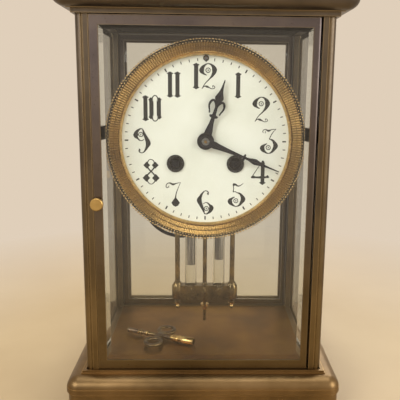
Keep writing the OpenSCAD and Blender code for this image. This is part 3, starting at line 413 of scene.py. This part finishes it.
def place_bmesh(bm, point, turn=None):
    """Puts a bmesh at a point, turned first if need be."""
    move = Matrix.Translation(point)
    bmesh.ops.transform(bm, matrix=move @ turn if turn else move, verts=bm.verts)
    return bm

# %% [markdown]
# ### Bevelled panes
# A pane is cut from plate glass and its outer edge is ground to a shallow slope, then
# polished. The slope bends what stands behind it and draws a bright frame round the pane. Each
# pane starts as a plain block, its outer face is inset by the width of the slope, and the rim
# is pushed back.

# %% Bevelled panes
def bevelled_pane(node, side, slope=0.0052, lean=10):
    """Stands a bevelled pane in a glass node's place; side points out of the case."""
    low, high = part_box(node)
    out = Vector(side)
    bm = bmesh.new()
    bmesh.ops.create_cube(bm, size=1.0)
    bmesh.ops.scale(bm, vec=high - low, verts=bm.verts)
    bmesh.ops.translate(bm, vec=(low + high) / 2, verts=bm.verts)
    bm.normal_update()
    face = max(bm.faces, key=lambda face: face.normal.dot(out))
    rim = list(face.verts)
    bmesh.ops.inset_region(bm, faces=[face], thickness=slope, depth=0.0)
    bmesh.ops.translate(bm, vec=-out * slope * math.tan(math.radians(lean)), verts=rim)
    pane = finish_piece(bm, node + "_ground", body_of[node], pane_glass, 2)
    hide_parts(node)
    return pane


for node, side in [("front_door_glass", (0, -1, 0)), ("rear_door_glass", (0, 1, 0)),
                   ("side_glass_left", (-1, 0, 0)), ("side_glass_right", (1, 0, 0))]:
    bevelled_pane(node, side)
print("four bevelled panes")

# %% [markdown]
# ### Eased castings and bars
# The base, the cornice, the posts and the door frames are castings and milled bars. A copy of
# each stands in for its node with a fine bevel on every sharp edge. The alternative, a bevel
# drawn into the shape itself, would hide the true sizes in the solid part.

# %% Eased case pieces
for node, width in [("base_plinth", 0.35), ("cornice", 0.35), ("floor_plate", 0.2),
                    ("post_front_left", 0.25), ("post_front_right", 0.25), ("post_rear_left", 0.25),
                    ("post_rear_right", 0.25), ("front_door_frame", 0.3), ("rear_door_frame", 0.3),
                    ("movement_brackets", 0.2)]:
    piece = ease_edges(node, width)
    print(piece.name, len(piece.data.polygons), "faces")

# %% [markdown]
# ## The bezel
# The bezel is a spun brass ring. From the glass outwards it has a bright sight ring, a
# sloping milled band, and two rows of fine beads round its edge. The plain body is turned
# from one profile. The milling is a second turned band whose every other line of points is
# pushed in, and the beads are small spheres set round a circle.

# %% The bezel's body
sight_r = 49.2
rim_r = (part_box("bezel")[1].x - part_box("bezel")[0].x) / 2 / MM
body_profile = [(sight_r + 0.9, -0.1), (sight_r + 0.9, 1.7), (sight_r + 2.2, 1.6), (rim_r - 3.3, 3.8),
                (rim_r - 2.7, 3.7), (rim_r - 1.4, 3.2), (rim_r - 1.0, 2.6), (rim_r - 1.0, -1.0),
                (rim_r - 7.5, -1.0), (rim_r - 7.5, -0.1), (sight_r + 0.9, -0.1)]
# The body takes the near-black gilt, painted shade that shows between the beads.
bezel_body = finish_piece(place_bmesh(turned(body_profile, 160), dial_middle, facing_us),
                          "bezel_body", "case", shaded_bezel_gilt)
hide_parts("bezel")
sight_profile = [(sight_r + 1.5, 0.6), (sight_r + 0.5, 0.1), (sight_r, 0.5), (sight_r + 0.1, 1.9),
                 (sight_r + 0.6, 2.7), (sight_r + 1.3, 2.8), (sight_r + 1.8, 2.2), (sight_r + 1.5, 0.6)]
finish_piece(place_bmesh(turned(sight_profile, 160), dial_middle, facing_us),
             "sight_ring", "case", sight_brass)
print("bezel radius", round(rim_r, 2), "mm")

# %% The milled band
ridges = 240
inner_line, outer_line = (sight_r + 1.9, 2.05), (rim_r - 2.75, 4.5)
band_steps = [tuple(a + (b - a) * t for a, b in zip(inner_line, outer_line)) for t in (0, 0.06, 0.45, 0.5,
                                                                                       0.55, 0.94, 1)]
band = turned(band_steps, 2 * ridges)
depth_at = (0.0, 0.4, 0.4, -0.1, 0.4, 0.4, 0.0)
for v in band.verts:
    radius = math.hypot(v.co.x, v.co.y) / MM
    row = min(range(len(band_steps)), key=lambda i: abs(band_steps[i][0] - radius))
    column = round(math.atan2(v.co.y, v.co.x) / math.tau * 2 * ridges)
    v.co.z -= depth_at[row] * MM * (column % 2)
band_piece = finish_piece(place_bmesh(band, dial_middle, facing_us), "milled_band", "case",
                          gilt_brass, 20)
print("milled band", len(band_piece.data.polygons), "faces")


# %% The beaded rows
def bead_row(name, radius, height, bead_r, count, shift=0.0):
    bm = bmesh.new()
    for i in range(count):
        a = math.tau * (i + shift) / count
        at = Matrix.Translation((radius * MM * math.cos(a), radius * MM * math.sin(a), height * MM))
        bmesh.ops.create_uvsphere(bm, u_segments=8, v_segments=5, radius=bead_r * MM, matrix=at)
    # The beads take the pale gilt, a painted highlight.
    return finish_piece(place_bmesh(bm, dial_middle, facing_us), name, "case", highlit_bead_gilt, 80)


bead_row("outer_beads", rim_r - 0.74, 3.4, 0.72, 200)
bead_row("inner_beads", rim_r - 2.2, 4.1, 0.56, 200, 0.5)
print("beads set")

# %% [markdown]
# ## The dial's painting
# The figures are drawn with a brush: a hairline swells into a diamond and thins again. A curve
# object can do just that, because each of its points carries a radius. Every stroke is a list
# of (across, up, half width) in a figure one unit tall. The strokes become a mesh, which is
# pressed almost flat onto the enamel.

# %% Brush strokes
def brush(strokes, name="brush"):
    """A mesh of round strokes. A stroke that starts with "straight" has no smoothing."""
    curve = bpy.data.curves.new(name, "CURVE")
    curve.dimensions = "3D"
    curve.bevel_depth = 1.0
    curve.bevel_resolution = 1
    curve.resolution_u = 4
    curve.use_fill_caps = True
    for stroke in strokes:
        straight = stroke[0] == "straight"
        points = stroke[1:] if straight else stroke
        line = curve.splines.new("POLY" if straight else "BEZIER")
        if straight:
            line.points.add(len(points) - 1)
            for spot, (x, z, w) in zip(line.points, points):
                spot.co = (x, 0, z, 1)
                spot.radius = w
        else:
            line.bezier_points.add(len(points) - 1)
            for spot, (x, z, w) in zip(line.bezier_points, points):
                spot.co = (x, 0, z)
                spot.radius = w
                spot.handle_left_type = spot.handle_right_type = "AUTO"
    drawn = bpy.data.objects.new(name, curve)
    bpy.context.scene.collection.objects.link(drawn)
    depsgraph = bpy.context.evaluated_depsgraph_get()
    mesh = bpy.data.meshes.new_from_object(drawn.evaluated_get(depsgraph))
    bpy.data.objects.remove(drawn)
    bpy.data.curves.remove(curve)
    return mesh


def diamond(x, z, w, h):
    return ["straight", (x, z - h, 0.004), (x, z, w), (x, z + h, 0.004)]


def loop(x, z, r, w):
    """A small hairline ring with a dot in it."""
    ring = [(x + r * math.cos(math.tau * i / 8), z + r * math.sin(math.tau * i / 8), w) for i in range(9)]
    return [ring, [(x - 0.02, z, 0.028), (x + 0.02, z, 0.028)]]


def half_turn(strokes):
    """The same strokes turned upside down about the figure's middle."""
    return [[p if p == "straight" else (-p[0], 1 - p[1], p[2]) for p in s] for s in strokes]


# %% [markdown]
# Each figure is a few such strokes. The bowl of the three serves the five as well, and the
# nine is the six turned upside down, as it is on many old dials.

# %% The figures
one = [["straight", (0, 0.06, 0.058), (0, 0.94, 0.058)], diamond(0, 0.93, 0.1, 0.075),
       diamond(0, 0.07, 0.1, 0.075)]
bowl = [[(0.02, 0.60, 0.014), (0.14, 0.56, 0.030), (0.24, 0.44, 0.055), (0.28, 0.33, 0.082),
         (0.22, 0.20, 0.055),
         (0.12, 0.07, 0.030), (0.00, 0.02, 0.014)],
        [(0.00, 0.02, 0.014), (-0.12, 0.07, 0.030), (-0.25, 0.24, 0.085), (-0.17, 0.36, 0.030),
         (-0.06, 0.42, 0.012)],
        *loop(-0.01, 0.26, 0.085, 0.014)]
figures = {
    "0": [["straight", (-0.145, 0.2, 0.06), (-0.145, 0.8, 0.06)],
          ["straight", (0.145, 0.2, 0.06), (0.145, 0.8, 0.06)],
          [(-0.14, 0.8, 0.03), (-0.08, 0.95, 0.018), (0, 1.0, 0.016), (0.08, 0.95, 0.018), (0.14, 0.8, 0.03)],
          [(-0.14, 0.2, 0.03), (-0.08, 0.05, 0.018), (0, 0.0, 0.016), (0.08, 0.05, 0.018), (0.14, 0.2, 0.03)],
          diamond(-0.17, 0.84, 0.07, 0.09), diamond(0.17, 0.84, 0.07, 0.09),
          diamond(-0.17, 0.16, 0.07, 0.09), diamond(0.17, 0.16, 0.07, 0.09)],
    "1": one,
    "2": [[(0.0, 0.99, 0.014), (-0.12, 0.93, 0.028), (-0.25, 0.72, 0.085), (-0.17, 0.6, 0.03),
           (-0.05, 0.54, 0.012)],
          [(0.0, 0.99, 0.014), (0.13, 0.94, 0.03), (0.25, 0.75, 0.085), (0.2, 0.58, 0.05),
           (0.08, 0.42, 0.022),
           (-0.1, 0.24, 0.014), (-0.24, 0.02, 0.01)],
          *loop(0.0, 0.73, 0.085, 0.014),
          [(-0.24, 0.02, 0.01), (-0.13, 0.12, 0.016), (-0.03, 0.1, 0.036), (0.06, 0.06, 0.016),
           (0.17, 0.02, 0.012),
           (0.27, 0.08, 0.012), (0.2, 0.15, 0.01)], [(0.17, 0.11, 0.034), (0.2, 0.11, 0.034)]],
    "3": bowl + [[(0.28, 1.0, 0.008), (0.14, 0.84, 0.014), (0.02, 0.6, 0.014)],
                 [(-0.23, 0.84, 0.012), (-0.24, 0.93, 0.012), (-0.15, 0.98, 0.014), (-0.02, 0.93, 0.034),
                  (0.08, 0.97, 0.016),
                  (0.28, 1.0, 0.008)], [(-0.16, 0.87, 0.034), (-0.13, 0.87, 0.034)]],
    "4": [[(0.12, 0.98, 0.01), (-0.08, 0.68, 0.012), (-0.3, 0.33, 0.014)],
          ["straight", (0.13, 1.0, 0.02), (0.13, 0.9, 0.055), (0.13, 0.1, 0.055)],
          diamond(0.13, 0.09, 0.1, 0.09),
          ["straight", (-0.34, 0.3, 0.02), (-0.26, 0.33, 0.055), (-0.15, 0.31, 0.03), (0.13, 0.31, 0.042),
           (0.27, 0.32, 0.03),
           (0.33, 0.35, 0.055), (0.39, 0.3, 0.02)]],
    "5": bowl + [[(-0.13, 0.93, 0.05), (-0.04, 0.93, 0.035), (0.08, 0.87, 0.02), (0.28, 0.98, 0.008)],
                 [(-0.14, 0.95, 0.014), (-0.11, 0.78, 0.014), (-0.13, 0.62, 0.014)],
                 [(-0.13, 0.62, 0.012), (-0.05, 0.64, 0.014), (0.02, 0.6, 0.014)]],
    "6": [[(0.1, 0.86, 0.03), (0.12, 0.95, 0.02), (0.0, 1.0, 0.014), (-0.1, 0.92, 0.026),
           (-0.19, 0.76, 0.05), (-0.24, 0.62, 0.085),
           (-0.17, 0.42, 0.06), (-0.08, 0.22, 0.04), (-0.02, 0.04, 0.014)],
          [(-0.02, 0.04, 0.014), (0.1, 0.06, 0.026), (0.25, 0.3, 0.085), (0.18, 0.42, 0.03),
           (0.04, 0.52, 0.014),
           (-0.08, 0.46, 0.012)], [(0.09, 0.86, 0.04), (0.12, 0.88, 0.04)], *loop(0.05, 0.27, 0.085, 0.014)],
    "7": [[(-0.2, 0.84, 0.012), (-0.29, 0.78, 0.014), (-0.32, 0.88, 0.014), (-0.2, 0.98, 0.016),
           (-0.04, 0.92, 0.036),
           (0.08, 0.96, 0.016), (0.26, 1.0, 0.008)], [(-0.22, 0.83, 0.03), (-0.2, 0.83, 0.03)],
          [(0.26, 1.0, 0.008), (0.16, 0.76, 0.012), (0.08, 0.52, 0.016), (0.06, 0.36, 0.022)],
          ["straight", (0.06, 0.38, 0.014), (0.06, 0.16, 0.125), (0.06, 0.04, 0.07), (0.06, 0.0, 0.01)]],
    "8": [diamond(-0.17, 0.77, 0.1, 0.14), diamond(0.17, 0.77, 0.1, 0.14),
          diamond(-0.19, 0.25, 0.11, 0.16), diamond(0.19, 0.25, 0.11, 0.16),
          [(-0.15, 0.85, 0.02), (-0.08, 0.97, 0.015), (0, 1.0, 0.014), (0.08, 0.97, 0.015),
           (0.15, 0.85, 0.02)],
          [(-0.15, 0.7, 0.025), (-0.06, 0.58, 0.024), (0.06, 0.46, 0.024), (0.17, 0.34, 0.025)],
          [(0.15, 0.7, 0.025), (0.06, 0.58, 0.024), (-0.06, 0.46, 0.024), (-0.17, 0.34, 0.025)],
          [(-0.17, 0.16, 0.02), (-0.08, 0.03, 0.015), (0, 0.0, 0.014), (0.08, 0.03, 0.015),
           (0.17, 0.16, 0.02)]],
}
figures["9"] = half_turn(figures["6"])
swell = 1.4      # how much fuller the brush is than its strokes say
drawn_figures = {key: brush([[p if p == "straight" else (p[0], p[1],
                                                         p[2] * swell) for p in s] for s in strokes])
                 for key, strokes in figures.items()}
print("figures drawn:", " ".join(sorted(drawn_figures)))

# %% Twelve hours on the enamel
figure_h, figure_r, paint_t = 14.8, 37.4, 0.045
dial_paint = bmesh.new()
for hour in range(1, 13):
    a = math.radians(hour * 30)
    digits = str(hour)
    apart = {10: 5.6, 11: 4.3}.get(hour, 6.9)
    for i, digit in enumerate(digits):
        along = (i - (len(digits) - 1) / 2) * apart - (2.3 if hour == 12 else 0.0)
        before = len(dial_paint.verts)
        dial_paint.from_mesh(drawn_figures[digit])
        dial_paint.verts.ensure_lookup_table()
        spot = on_dial(figure_r * math.sin(a) + along, figure_r * math.cos(a) - figure_h / 2)
        press = Matrix.Diagonal((figure_h * MM, paint_t * MM / 0.06, figure_h * MM, 1))
        bmesh.ops.transform(dial_paint, matrix=Matrix.Translation(spot) @ press,
                            verts=dial_paint.verts[before:])
for v in dial_paint.verts:
    v.co.y = max(dial_low.y - paint_t * MM, min(v.co.y, dial_low.y + paint_t * MM))
bmesh.ops.dissolve_degenerate(dial_paint, edges=dial_paint.edges, dist=0.001 * MM)
finish_piece(dial_paint, "dial_figures", "case", paint)

# %% [markdown]
# The minute track has sixty short strokes, heavier at each hour, just inside the sight ring.

# %% The minute track
track = bmesh.new()
for minute in range(60):
    heavy = minute % 5 == 0
    length, width = (2.2, 0.85) if heavy else (1.6, 0.55)
    turn = Matrix.Rotation(-math.radians(minute * 6), 4, "Y")
    size = Matrix.Diagonal((width * MM, 2 * paint_t * MM, length * MM, 1))
    at = Matrix.Translation(dial_middle) @ turn @ Matrix.Translation((0, 0,
                                                                      (46.9 - length / 2 + 0.8) * MM)) @ size
    bmesh.ops.create_cube(track, size=1.0, matrix=at)
finish_piece(track, "minute_track", "case", paint)
print("sixty minutes marked")

# %% [markdown]
# ## Hands
# The hands are pierced and filed from thin steel, then heated until they turn blue-black.
# Each is drawn from a blade, whose outline is a filled flat curve with a little bevel, and,
# on the hour hand, two scrolls made as brush strokes. A turned boss covers the root.

# %% The hands
def blade(widths, thick_mm=0.6):
    """A flat blade along Z from (distance, half width) points, filled and slightly bevelled."""
    outline = [(w, d) for d, w in widths] + [(-w, d) for d, w in reversed(widths)]
    curve = bpy.data.curves.new("blade", "CURVE")
    curve.dimensions = "2D"
    curve.fill_mode = "BOTH"
    curve.extrude = (thick_mm / 2 - 0.1) * MM
    curve.bevel_depth = 0.1 * MM
    line = curve.splines.new("POLY")
    line.points.add(len(outline) - 1)
    for spot, (x, z) in zip(line.points, outline):
        spot.co = (x * MM, z * MM, 0, 1)
    line.use_cyclic_u = True
    drawn = bpy.data.objects.new("blade", curve)
    bpy.context.scene.collection.objects.link(drawn)
    depsgraph = bpy.context.evaluated_depsgraph_get()
    mesh = bpy.data.meshes.new_from_object(drawn.evaluated_get(depsgraph))
    mesh.transform(facing_us)
    bpy.data.objects.remove(drawn)
    bpy.data.curves.remove(curve)
    return mesh


def hand_piece(name, node, body, blades, strokes, boss_profile, turn_deg):
    """Joins blades, scrolls and the boss, and stands them in for the plain hand."""
    low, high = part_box(node)
    bm = bmesh.new()
    for widths in blades:
        bm.from_mesh(blade(widths))
    if strokes:
        before = len(bm.verts)
        bm.from_mesh(brush(strokes))
        bm.verts.ensure_lookup_table()
        bmesh.ops.transform(bm, matrix=Matrix.Diagonal((MM, 0.55 * MM, MM, 1)), verts=bm.verts[before:])
    boss = turned(boss_profile, 40)
    bmesh.ops.transform(boss, matrix=facing_us, verts=boss.verts)
    spare = bpy.data.meshes.new("boss")
    boss.to_mesh(spare)
    boss.free()
    bm.from_mesh(spare)
    at = Vector((dial_middle.x, (low.y + high.y) / 2, dial_middle.z))
    place_bmesh(bm, at, Matrix.Rotation(math.radians(turn_deg), 4, "Y"))
    piece = finish_piece(bm, name, body, blued, 40)
    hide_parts(node)
    return piece


hour_blade = [(4.0, 2.3), (6.5, 2.1), (10.5, 1.3), (14.2, 0.95), (14.7, 2.3), (15.6, 2.5), (16.1, 1.0),
              (20.5, 0.75),
              (23.6, 0.85), (25.2, 2.2), (26.4, 2.5), (27.8, 1.9), (29.6, 1.15), (32.0, 0.62), (36.8, 0.2)]
scroll = [(0.2, 20.2, 0.55), (1.2, 23.0, 0.75), (2.9, 24.2, 0.8), (4.2, 22.6, 0.8), (4.3, 20.4, 0.62),
          (3.3, 17.8, 0.5), (3.0, 16.6, 0.55)]
scrolls = [scroll, [(-x, z, w) for x, z, w in scroll]]
hour_boss = [(2.65, -0.34), (4.9, -0.34), (5.0, 0.1), (4.7, 0.42), (4.2, 0.42), (3.9, 0.2), (2.65, 0.2),
             (2.65, -0.34)]
hand_piece("hour_hand_blued", "hour_hand", "hour_work", [hour_blade], scrolls, hour_boss, 17.3)
minute_blade = [(2.8, 1.9), (6.0, 2.0), (7.5, 1.75), (14.0, 1.15), (23.8, 0.62), (24.2, 2.0), (24.9, 2.0),
                (25.3, 0.6),
                (27.6, 0.75), (30.2, 1.5), (31.6, 1.75), (33.2, 1.35), (36.0, 0.75), (40.0, 0.42),
                (46.8, 0.18)]
minute_boss = [(1.25, -0.34), (3.3, -0.34), (3.4, 0.0), (3.1, 0.5), (2.5, 0.34), (1.25, 0.34), (1.25, -0.34)]
hand_piece("minute_hand_blued", "minute_hand", "minute_work", [minute_blade], [], minute_boss, 111.9)
print("hands made")

# %% [markdown]
# ## Rings in the winding holes
# Each winding hole is lined with a rounded black ring, turned from a half-round profile.

# %% The black rings
for name, node_at, outer, inner, tall in [("ring_right", "going_arbor", 5.15, 3.8, 0.65),
                                          ("ring_left", "strike_arbor", 5.15, 3.8, 0.65),
                                          ("ring_top", "regulator_arbor", 1.7, 1.1, 0.4)]:
    low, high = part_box(node_at)
    middle = (low + high) / 2
    half = (outer - inner) / 2
    ring_profile = [(inner + half * (1 - math.cos(a)),
                     tall * math.sin(a)) for a in (math.pi * i / 8 for i in range(9))]
    if outer > 3:      # a dust tube runs back from the two winding holes
        ring_profile += [(outer - 0.8, -0.1), (outer - 0.8, -5.6), (3.0, -5.6), (3.0, -5.4), (inner, -5.4)]
    ring_profile.append(ring_profile[0])
    ring = place_bmesh(turned(ring_profile, 48), Vector((middle.x, dial_low.y, middle.z)), facing_us)
    finish_piece(ring, name, "case", black_paint)
    print(name, round(middle.x / MM, 1), round((middle.z - dial_middle.z) / MM, 1))
# %% [markdown]
# ## The pendulum
# The frame that carries the glass tubes is turned and soldered brass: three rods stand in
# rounded sockets on a tray, and a small turned finial hangs under each. The rods, sockets and
# finials are lathe work; the tray between them is an extruded bar with eased edges.

# %% Turned pendulum parts
rod_x = 19.3    # each outer rod from the middle one
tray_top_z, tray_low_z = dial_middle.z / MM - 106.0, dial_middle.z / MM - 116.4


def pendulum_turning(name, x_mm, profile, finish):
    bm = place_bmesh(turned(profile, 40), Vector((x_mm * MM, pendulum_y, 0)))
    return finish_piece(bm, name, "pendulum", finish)


socket = [(0, -10.9), (2.6, -10.9), (3.6, -10.2), (3.9, -9.2), (3.9, -1.2), (3.6, -0.3), (3.0, 0.4),
          (2.7, 1.6), (1.9, 2.2), (1.75, 3.4), (0, 3.4)]
finial_line = [(0, -17.0), (0.8, -16.8), (1.35, -16.1), (1.2, -15.4), (0.8, -15.0), (1.3, -14.6),
               (2.0, -14.0), (2.05, -13.4),
               (1.3, -12.9), (0.9, -12.5), (1.5, -12.0), (1.7, -11.4), (1.2, -10.9), (1.1, -10.0), (0, -10.0)]
for side, x in (("left", -rod_x), ("right", rod_x)):
    pendulum_turning("socket_" + side, x, [(r, tray_top_z + h) for r, h in socket], pendulum_brass)
    # The finials are lightened as a painted highlight.
    pendulum_turning("finial_" + side, x, [(r, tray_top_z + h) for r, h in finial_line], bright_brass)
pendulum_turning("socket_middle", 0, [(0, tray_top_z - 13.6), (1.3, tray_top_z - 13.6),
                                      (1.9, tray_top_z - 12.6),
                 (2.6, tray_top_z - 11.6), (3.0, tray_top_z - 10.3), (3.4, tray_top_z - 9.8),
                 (3.5, tray_top_z - 1.2),
                 (3.0, tray_top_z - 0.4), (2.0, tray_top_z + 0.4), (1.5, tray_top_z + 1.6),
                 (0, tray_top_z + 1.6)], pendulum_brass)
eased = ease_edges("pendulum_frame", 0.2)
for v in eased.data.vertices:
    if tray_low_z - 0.1 < v.co.z / MM < tray_top_z + 0.1:
        v.co.y = pendulum_y + (v.co.y - pendulum_y) * 0.66
        v.co.x = max(-22.0 * MM, min(22.0 * MM, v.co.x))
print("pendulum turned;", len(eased.data.polygons), "faces in the frame")

# %% [markdown]
# ## The winding key
# The key is double ended: a long bright barrel with turned rings winds the clock, and the
# small end sets it. Two flat loops are brazed to its middle as a grip. The shaft is one
# lathe profile laid on its side; each loop is a turned ring pressed flat.

# %% The key
key_low, key_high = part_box("winding_key")
key_middle = Vector(((key_low.x + key_high.x) / 2, (key_low.y + key_high.y) / 2, key_low.z + 2.7 * MM))
key_turn = Matrix.Rotation(math.radians(-22.7), 4, "Z")
lay_down = Matrix.Rotation(math.radians(90), 4, "Y")
barrel_end = [(0, 8), (1.6, 8), (1.9, 9.4), (2.6, 9.8), (2.6, 10.4), (1.9, 10.7), (1.9, 11.1), (2.6, 11.4),
              (2.6, 12.0),
              (1.9, 12.3), (1.9, 12.7), (2.6, 13.0), (2.6, 13.6), (2.1, 14.0), (2.45, 15.2), (2.5, 24.4),
              (2.2, 25.0),
              (1.9, 25.0), (1.7, 21.0), (0, 21.0)]
setting_end = [(0, 8.4), (1.35, 8.4), (1.3, -9), (1.9, -9.4), (1.9, -10), (1.3, -10.3), (1.3, -13.4),
               (1.9, -13.8), (1.9, -14.4),
               (1.4, -14.7), (1.4, -15.1), (1.9, -15.4), (1.9, -16.0), (1.5, -16.4), (1.7, -24.6),
               (1.4, -25.0), (0, -25.0)]
for name, line, finish in (("key_barrel", barrel_end, bright_brass), ("key_shaft", setting_end, key_brass)):
    shaft = finish_piece(place_bmesh(turned(line, 32), key_middle, key_turn @ lay_down), name, "key", finish)
bow = bmesh.new()
for side in (-1, 1):
    circle = [(5.2 + 1.35 * math.cos(math.tau * i / 12),
               1.0 * math.sin(math.tau * i / 12)) for i in range(13)]
    ring_mesh = bpy.data.meshes.new("loop")
    loop_bm = turned(circle, 40)
    bmesh.ops.transform(loop_bm, matrix=Matrix.Translation((0, side * 9.9 * MM, 0)), verts=loop_bm.verts)
    loop_bm.to_mesh(ring_mesh)
    loop_bm.free()
    bow.from_mesh(ring_mesh)
before = len(bow.verts)
block = bmesh.ops.create_cube(bow, size=1.0, matrix=Matrix.Diagonal((5.0 * MM, 8.0 * MM, 2.0 * MM, 1)))
bmesh.ops.bevel(bow, geom=list({e for v in block["verts"] for e in v.link_edges}), offset=0.5 * MM,
                segments=2,
                profile=0.5, material=-1, affect="EDGES")
key_bow = finish_piece(place_bmesh(bow, key_middle, key_turn), "key_bow", "key", key_brass)
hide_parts("winding_key")
print("key lies at", [round(v / MM, 1) for v in key_middle])

# %% [markdown]
# ## Floor, light and camera
# The clock stands on a plain pale floor that fades into the background a little way off, and
# the background is a pale warm tone that glass and metal see too. Soft lamps stand at the
# left front, the right and above.

# %% The floor
def fading_floor():
    finish, tree, shader = fresh("pale table")
    where = place(tree)
    tree.links.new(tones(tree, cloud(tree, where, 90), ["c0a67e", "c9b088"]), shader.inputs["Base Color"])
    shader.inputs["Roughness"].default_value = 0.5
    away = tree.nodes.new("ShaderNodeVectorMath")
    away.operation = "LENGTH"
    tree.links.new(where, away.inputs[0])
    share = between(tree, away.outputs["Value"], 0.0, 1.0, 0.16, 0.42)
    glow = tree.nodes.new("ShaderNodeEmission")
    glow.inputs[0].default_value = tone("e0cfba")
    mix = tree.nodes.new("ShaderNodeMixShader")
    tree.links.new(share, mix.inputs[0])
    tree.links.new(shader.outputs[0], mix.inputs[1])
    tree.links.new(glow.outputs[0], mix.inputs[2])
    tree.links.new(mix.outputs[0], tree.nodes["Material Output"].inputs[0])
    return finish


floor_bm = bmesh.new()
bmesh.ops.create_circle(floor_bm, cap_ends=True, segments=96, radius=4.0)
floor_mesh = bpy.data.meshes.new("table")
floor_bm.to_mesh(floor_mesh)
floor_bm.free()
floor_mesh.materials.append(fading_floor())
table = bpy.data.objects.new("table", floor_mesh)
bpy.context.scene.collection.objects.link(table)
table.location.z = -0.0002

# %% The background
world = bpy.data.worlds.new("studio")
bpy.context.scene.world = world
world.use_nodes = True
tree = world.node_tree
tree.nodes.clear()
rays = tree.nodes.new("ShaderNodeLightPath")
seen = tree.nodes.new("ShaderNodeBackground")
seen.inputs[0].default_value = tone("e0cfba")
lit = tree.nodes.new("ShaderNodeBackground")
lit.inputs[0].default_value = (0.95, 0.93, 0.90, 1)
lit.inputs[1].default_value = 0.35
either = tree.nodes.new("ShaderNodeMath")
either.operation = "MAXIMUM"
either_more = tree.nodes.new("ShaderNodeMath")
either_more.operation = "MAXIMUM"
mix = tree.nodes.new("ShaderNodeMixShader")
out = tree.nodes.new("ShaderNodeOutputWorld")
tree.links.new(rays.outputs["Is Camera Ray"], either.inputs[0])
tree.links.new(rays.outputs["Is Transmission Ray"], either.inputs[1])
tree.links.new(either.outputs[0], either_more.inputs[0])
tree.links.new(rays.outputs["Is Glossy Ray"], either_more.inputs[1])
tree.links.new(either_more.outputs[0], mix.inputs[0])
tree.links.new(lit.outputs[0], mix.inputs[1])
tree.links.new(seen.outputs[0], mix.inputs[2])
tree.links.new(mix.outputs[0], out.inputs[0])


# %% The lamps
def soft_lamp(name, spot, size, power, colour=(1, 1, 1)):
    data = bpy.data.lights.new(name, "AREA")
    data.shape = "RECTANGLE"
    data.size, data.size_y = size
    data.energy = power
    data.color = colour
    lamp = bpy.data.objects.new(name, data)
    bpy.context.scene.collection.objects.link(lamp)
    lamp.location = spot
    aim = Vector((0, 0, 0.13)) - Vector(spot)
    lamp.rotation_euler = aim.to_track_quat("-Z", "Y").to_euler()
    lamp.visible_camera = False
    return lamp


soft_lamp("window", (-0.75, -0.85, 0.75), (0.7, 0.7), 9.5, (1.0, 0.98, 0.96))
soft_lamp("right_fill", (0.9, -0.6, 0.45), (0.6, 0.8), 6.0, (1.0, 0.95, 0.88))
soft_lamp("overhead", (0.0, 0.1, 1.1), (0.8, 0.8), 6.0)
behind = soft_lamp("behind", (0.3, 0.9, 0.6), (0.7, 0.6), 3.0)
behind.visible_transmission = False
print("lamps set")

# %% [markdown]
# The camera looks slightly down at the dial from a third of a metre away, almost square on.

# %% The camera
camera_data = bpy.data.cameras.new("camera")
camera = bpy.data.objects.new("camera", camera_data)
bpy.context.scene.collection.objects.link(camera)
bpy.context.scene.camera = camera
yaw, pitch, roll = math.radians(1.50), math.radians(10.72), math.radians(0.71)
ahead = Vector((math.sin(yaw) * math.cos(pitch), math.cos(yaw) * math.cos(pitch), -math.sin(pitch)))
across = Vector((math.cos(yaw), -math.sin(yaw), 0))
over = across.cross(ahead)
across, over = (math.cos(roll) * across + math.sin(roll) * over,
                -math.sin(roll) * across + math.cos(roll) * over)
camera.matrix_world = Matrix.Translation((0.0005, case_front - 0.3066, case_floor + 0.1669)) @ \
    Matrix((across, over, -ahead)).transposed().to_4x4()
camera_data.sensor_width = 36
camera_data.lens = 48.9
camera_data.shift_x, camera_data.shift_y = -0.05, -0.01
camera_data.clip_start = 0.01
bpy.context.scene.view_settings.view_transform = "Standard"
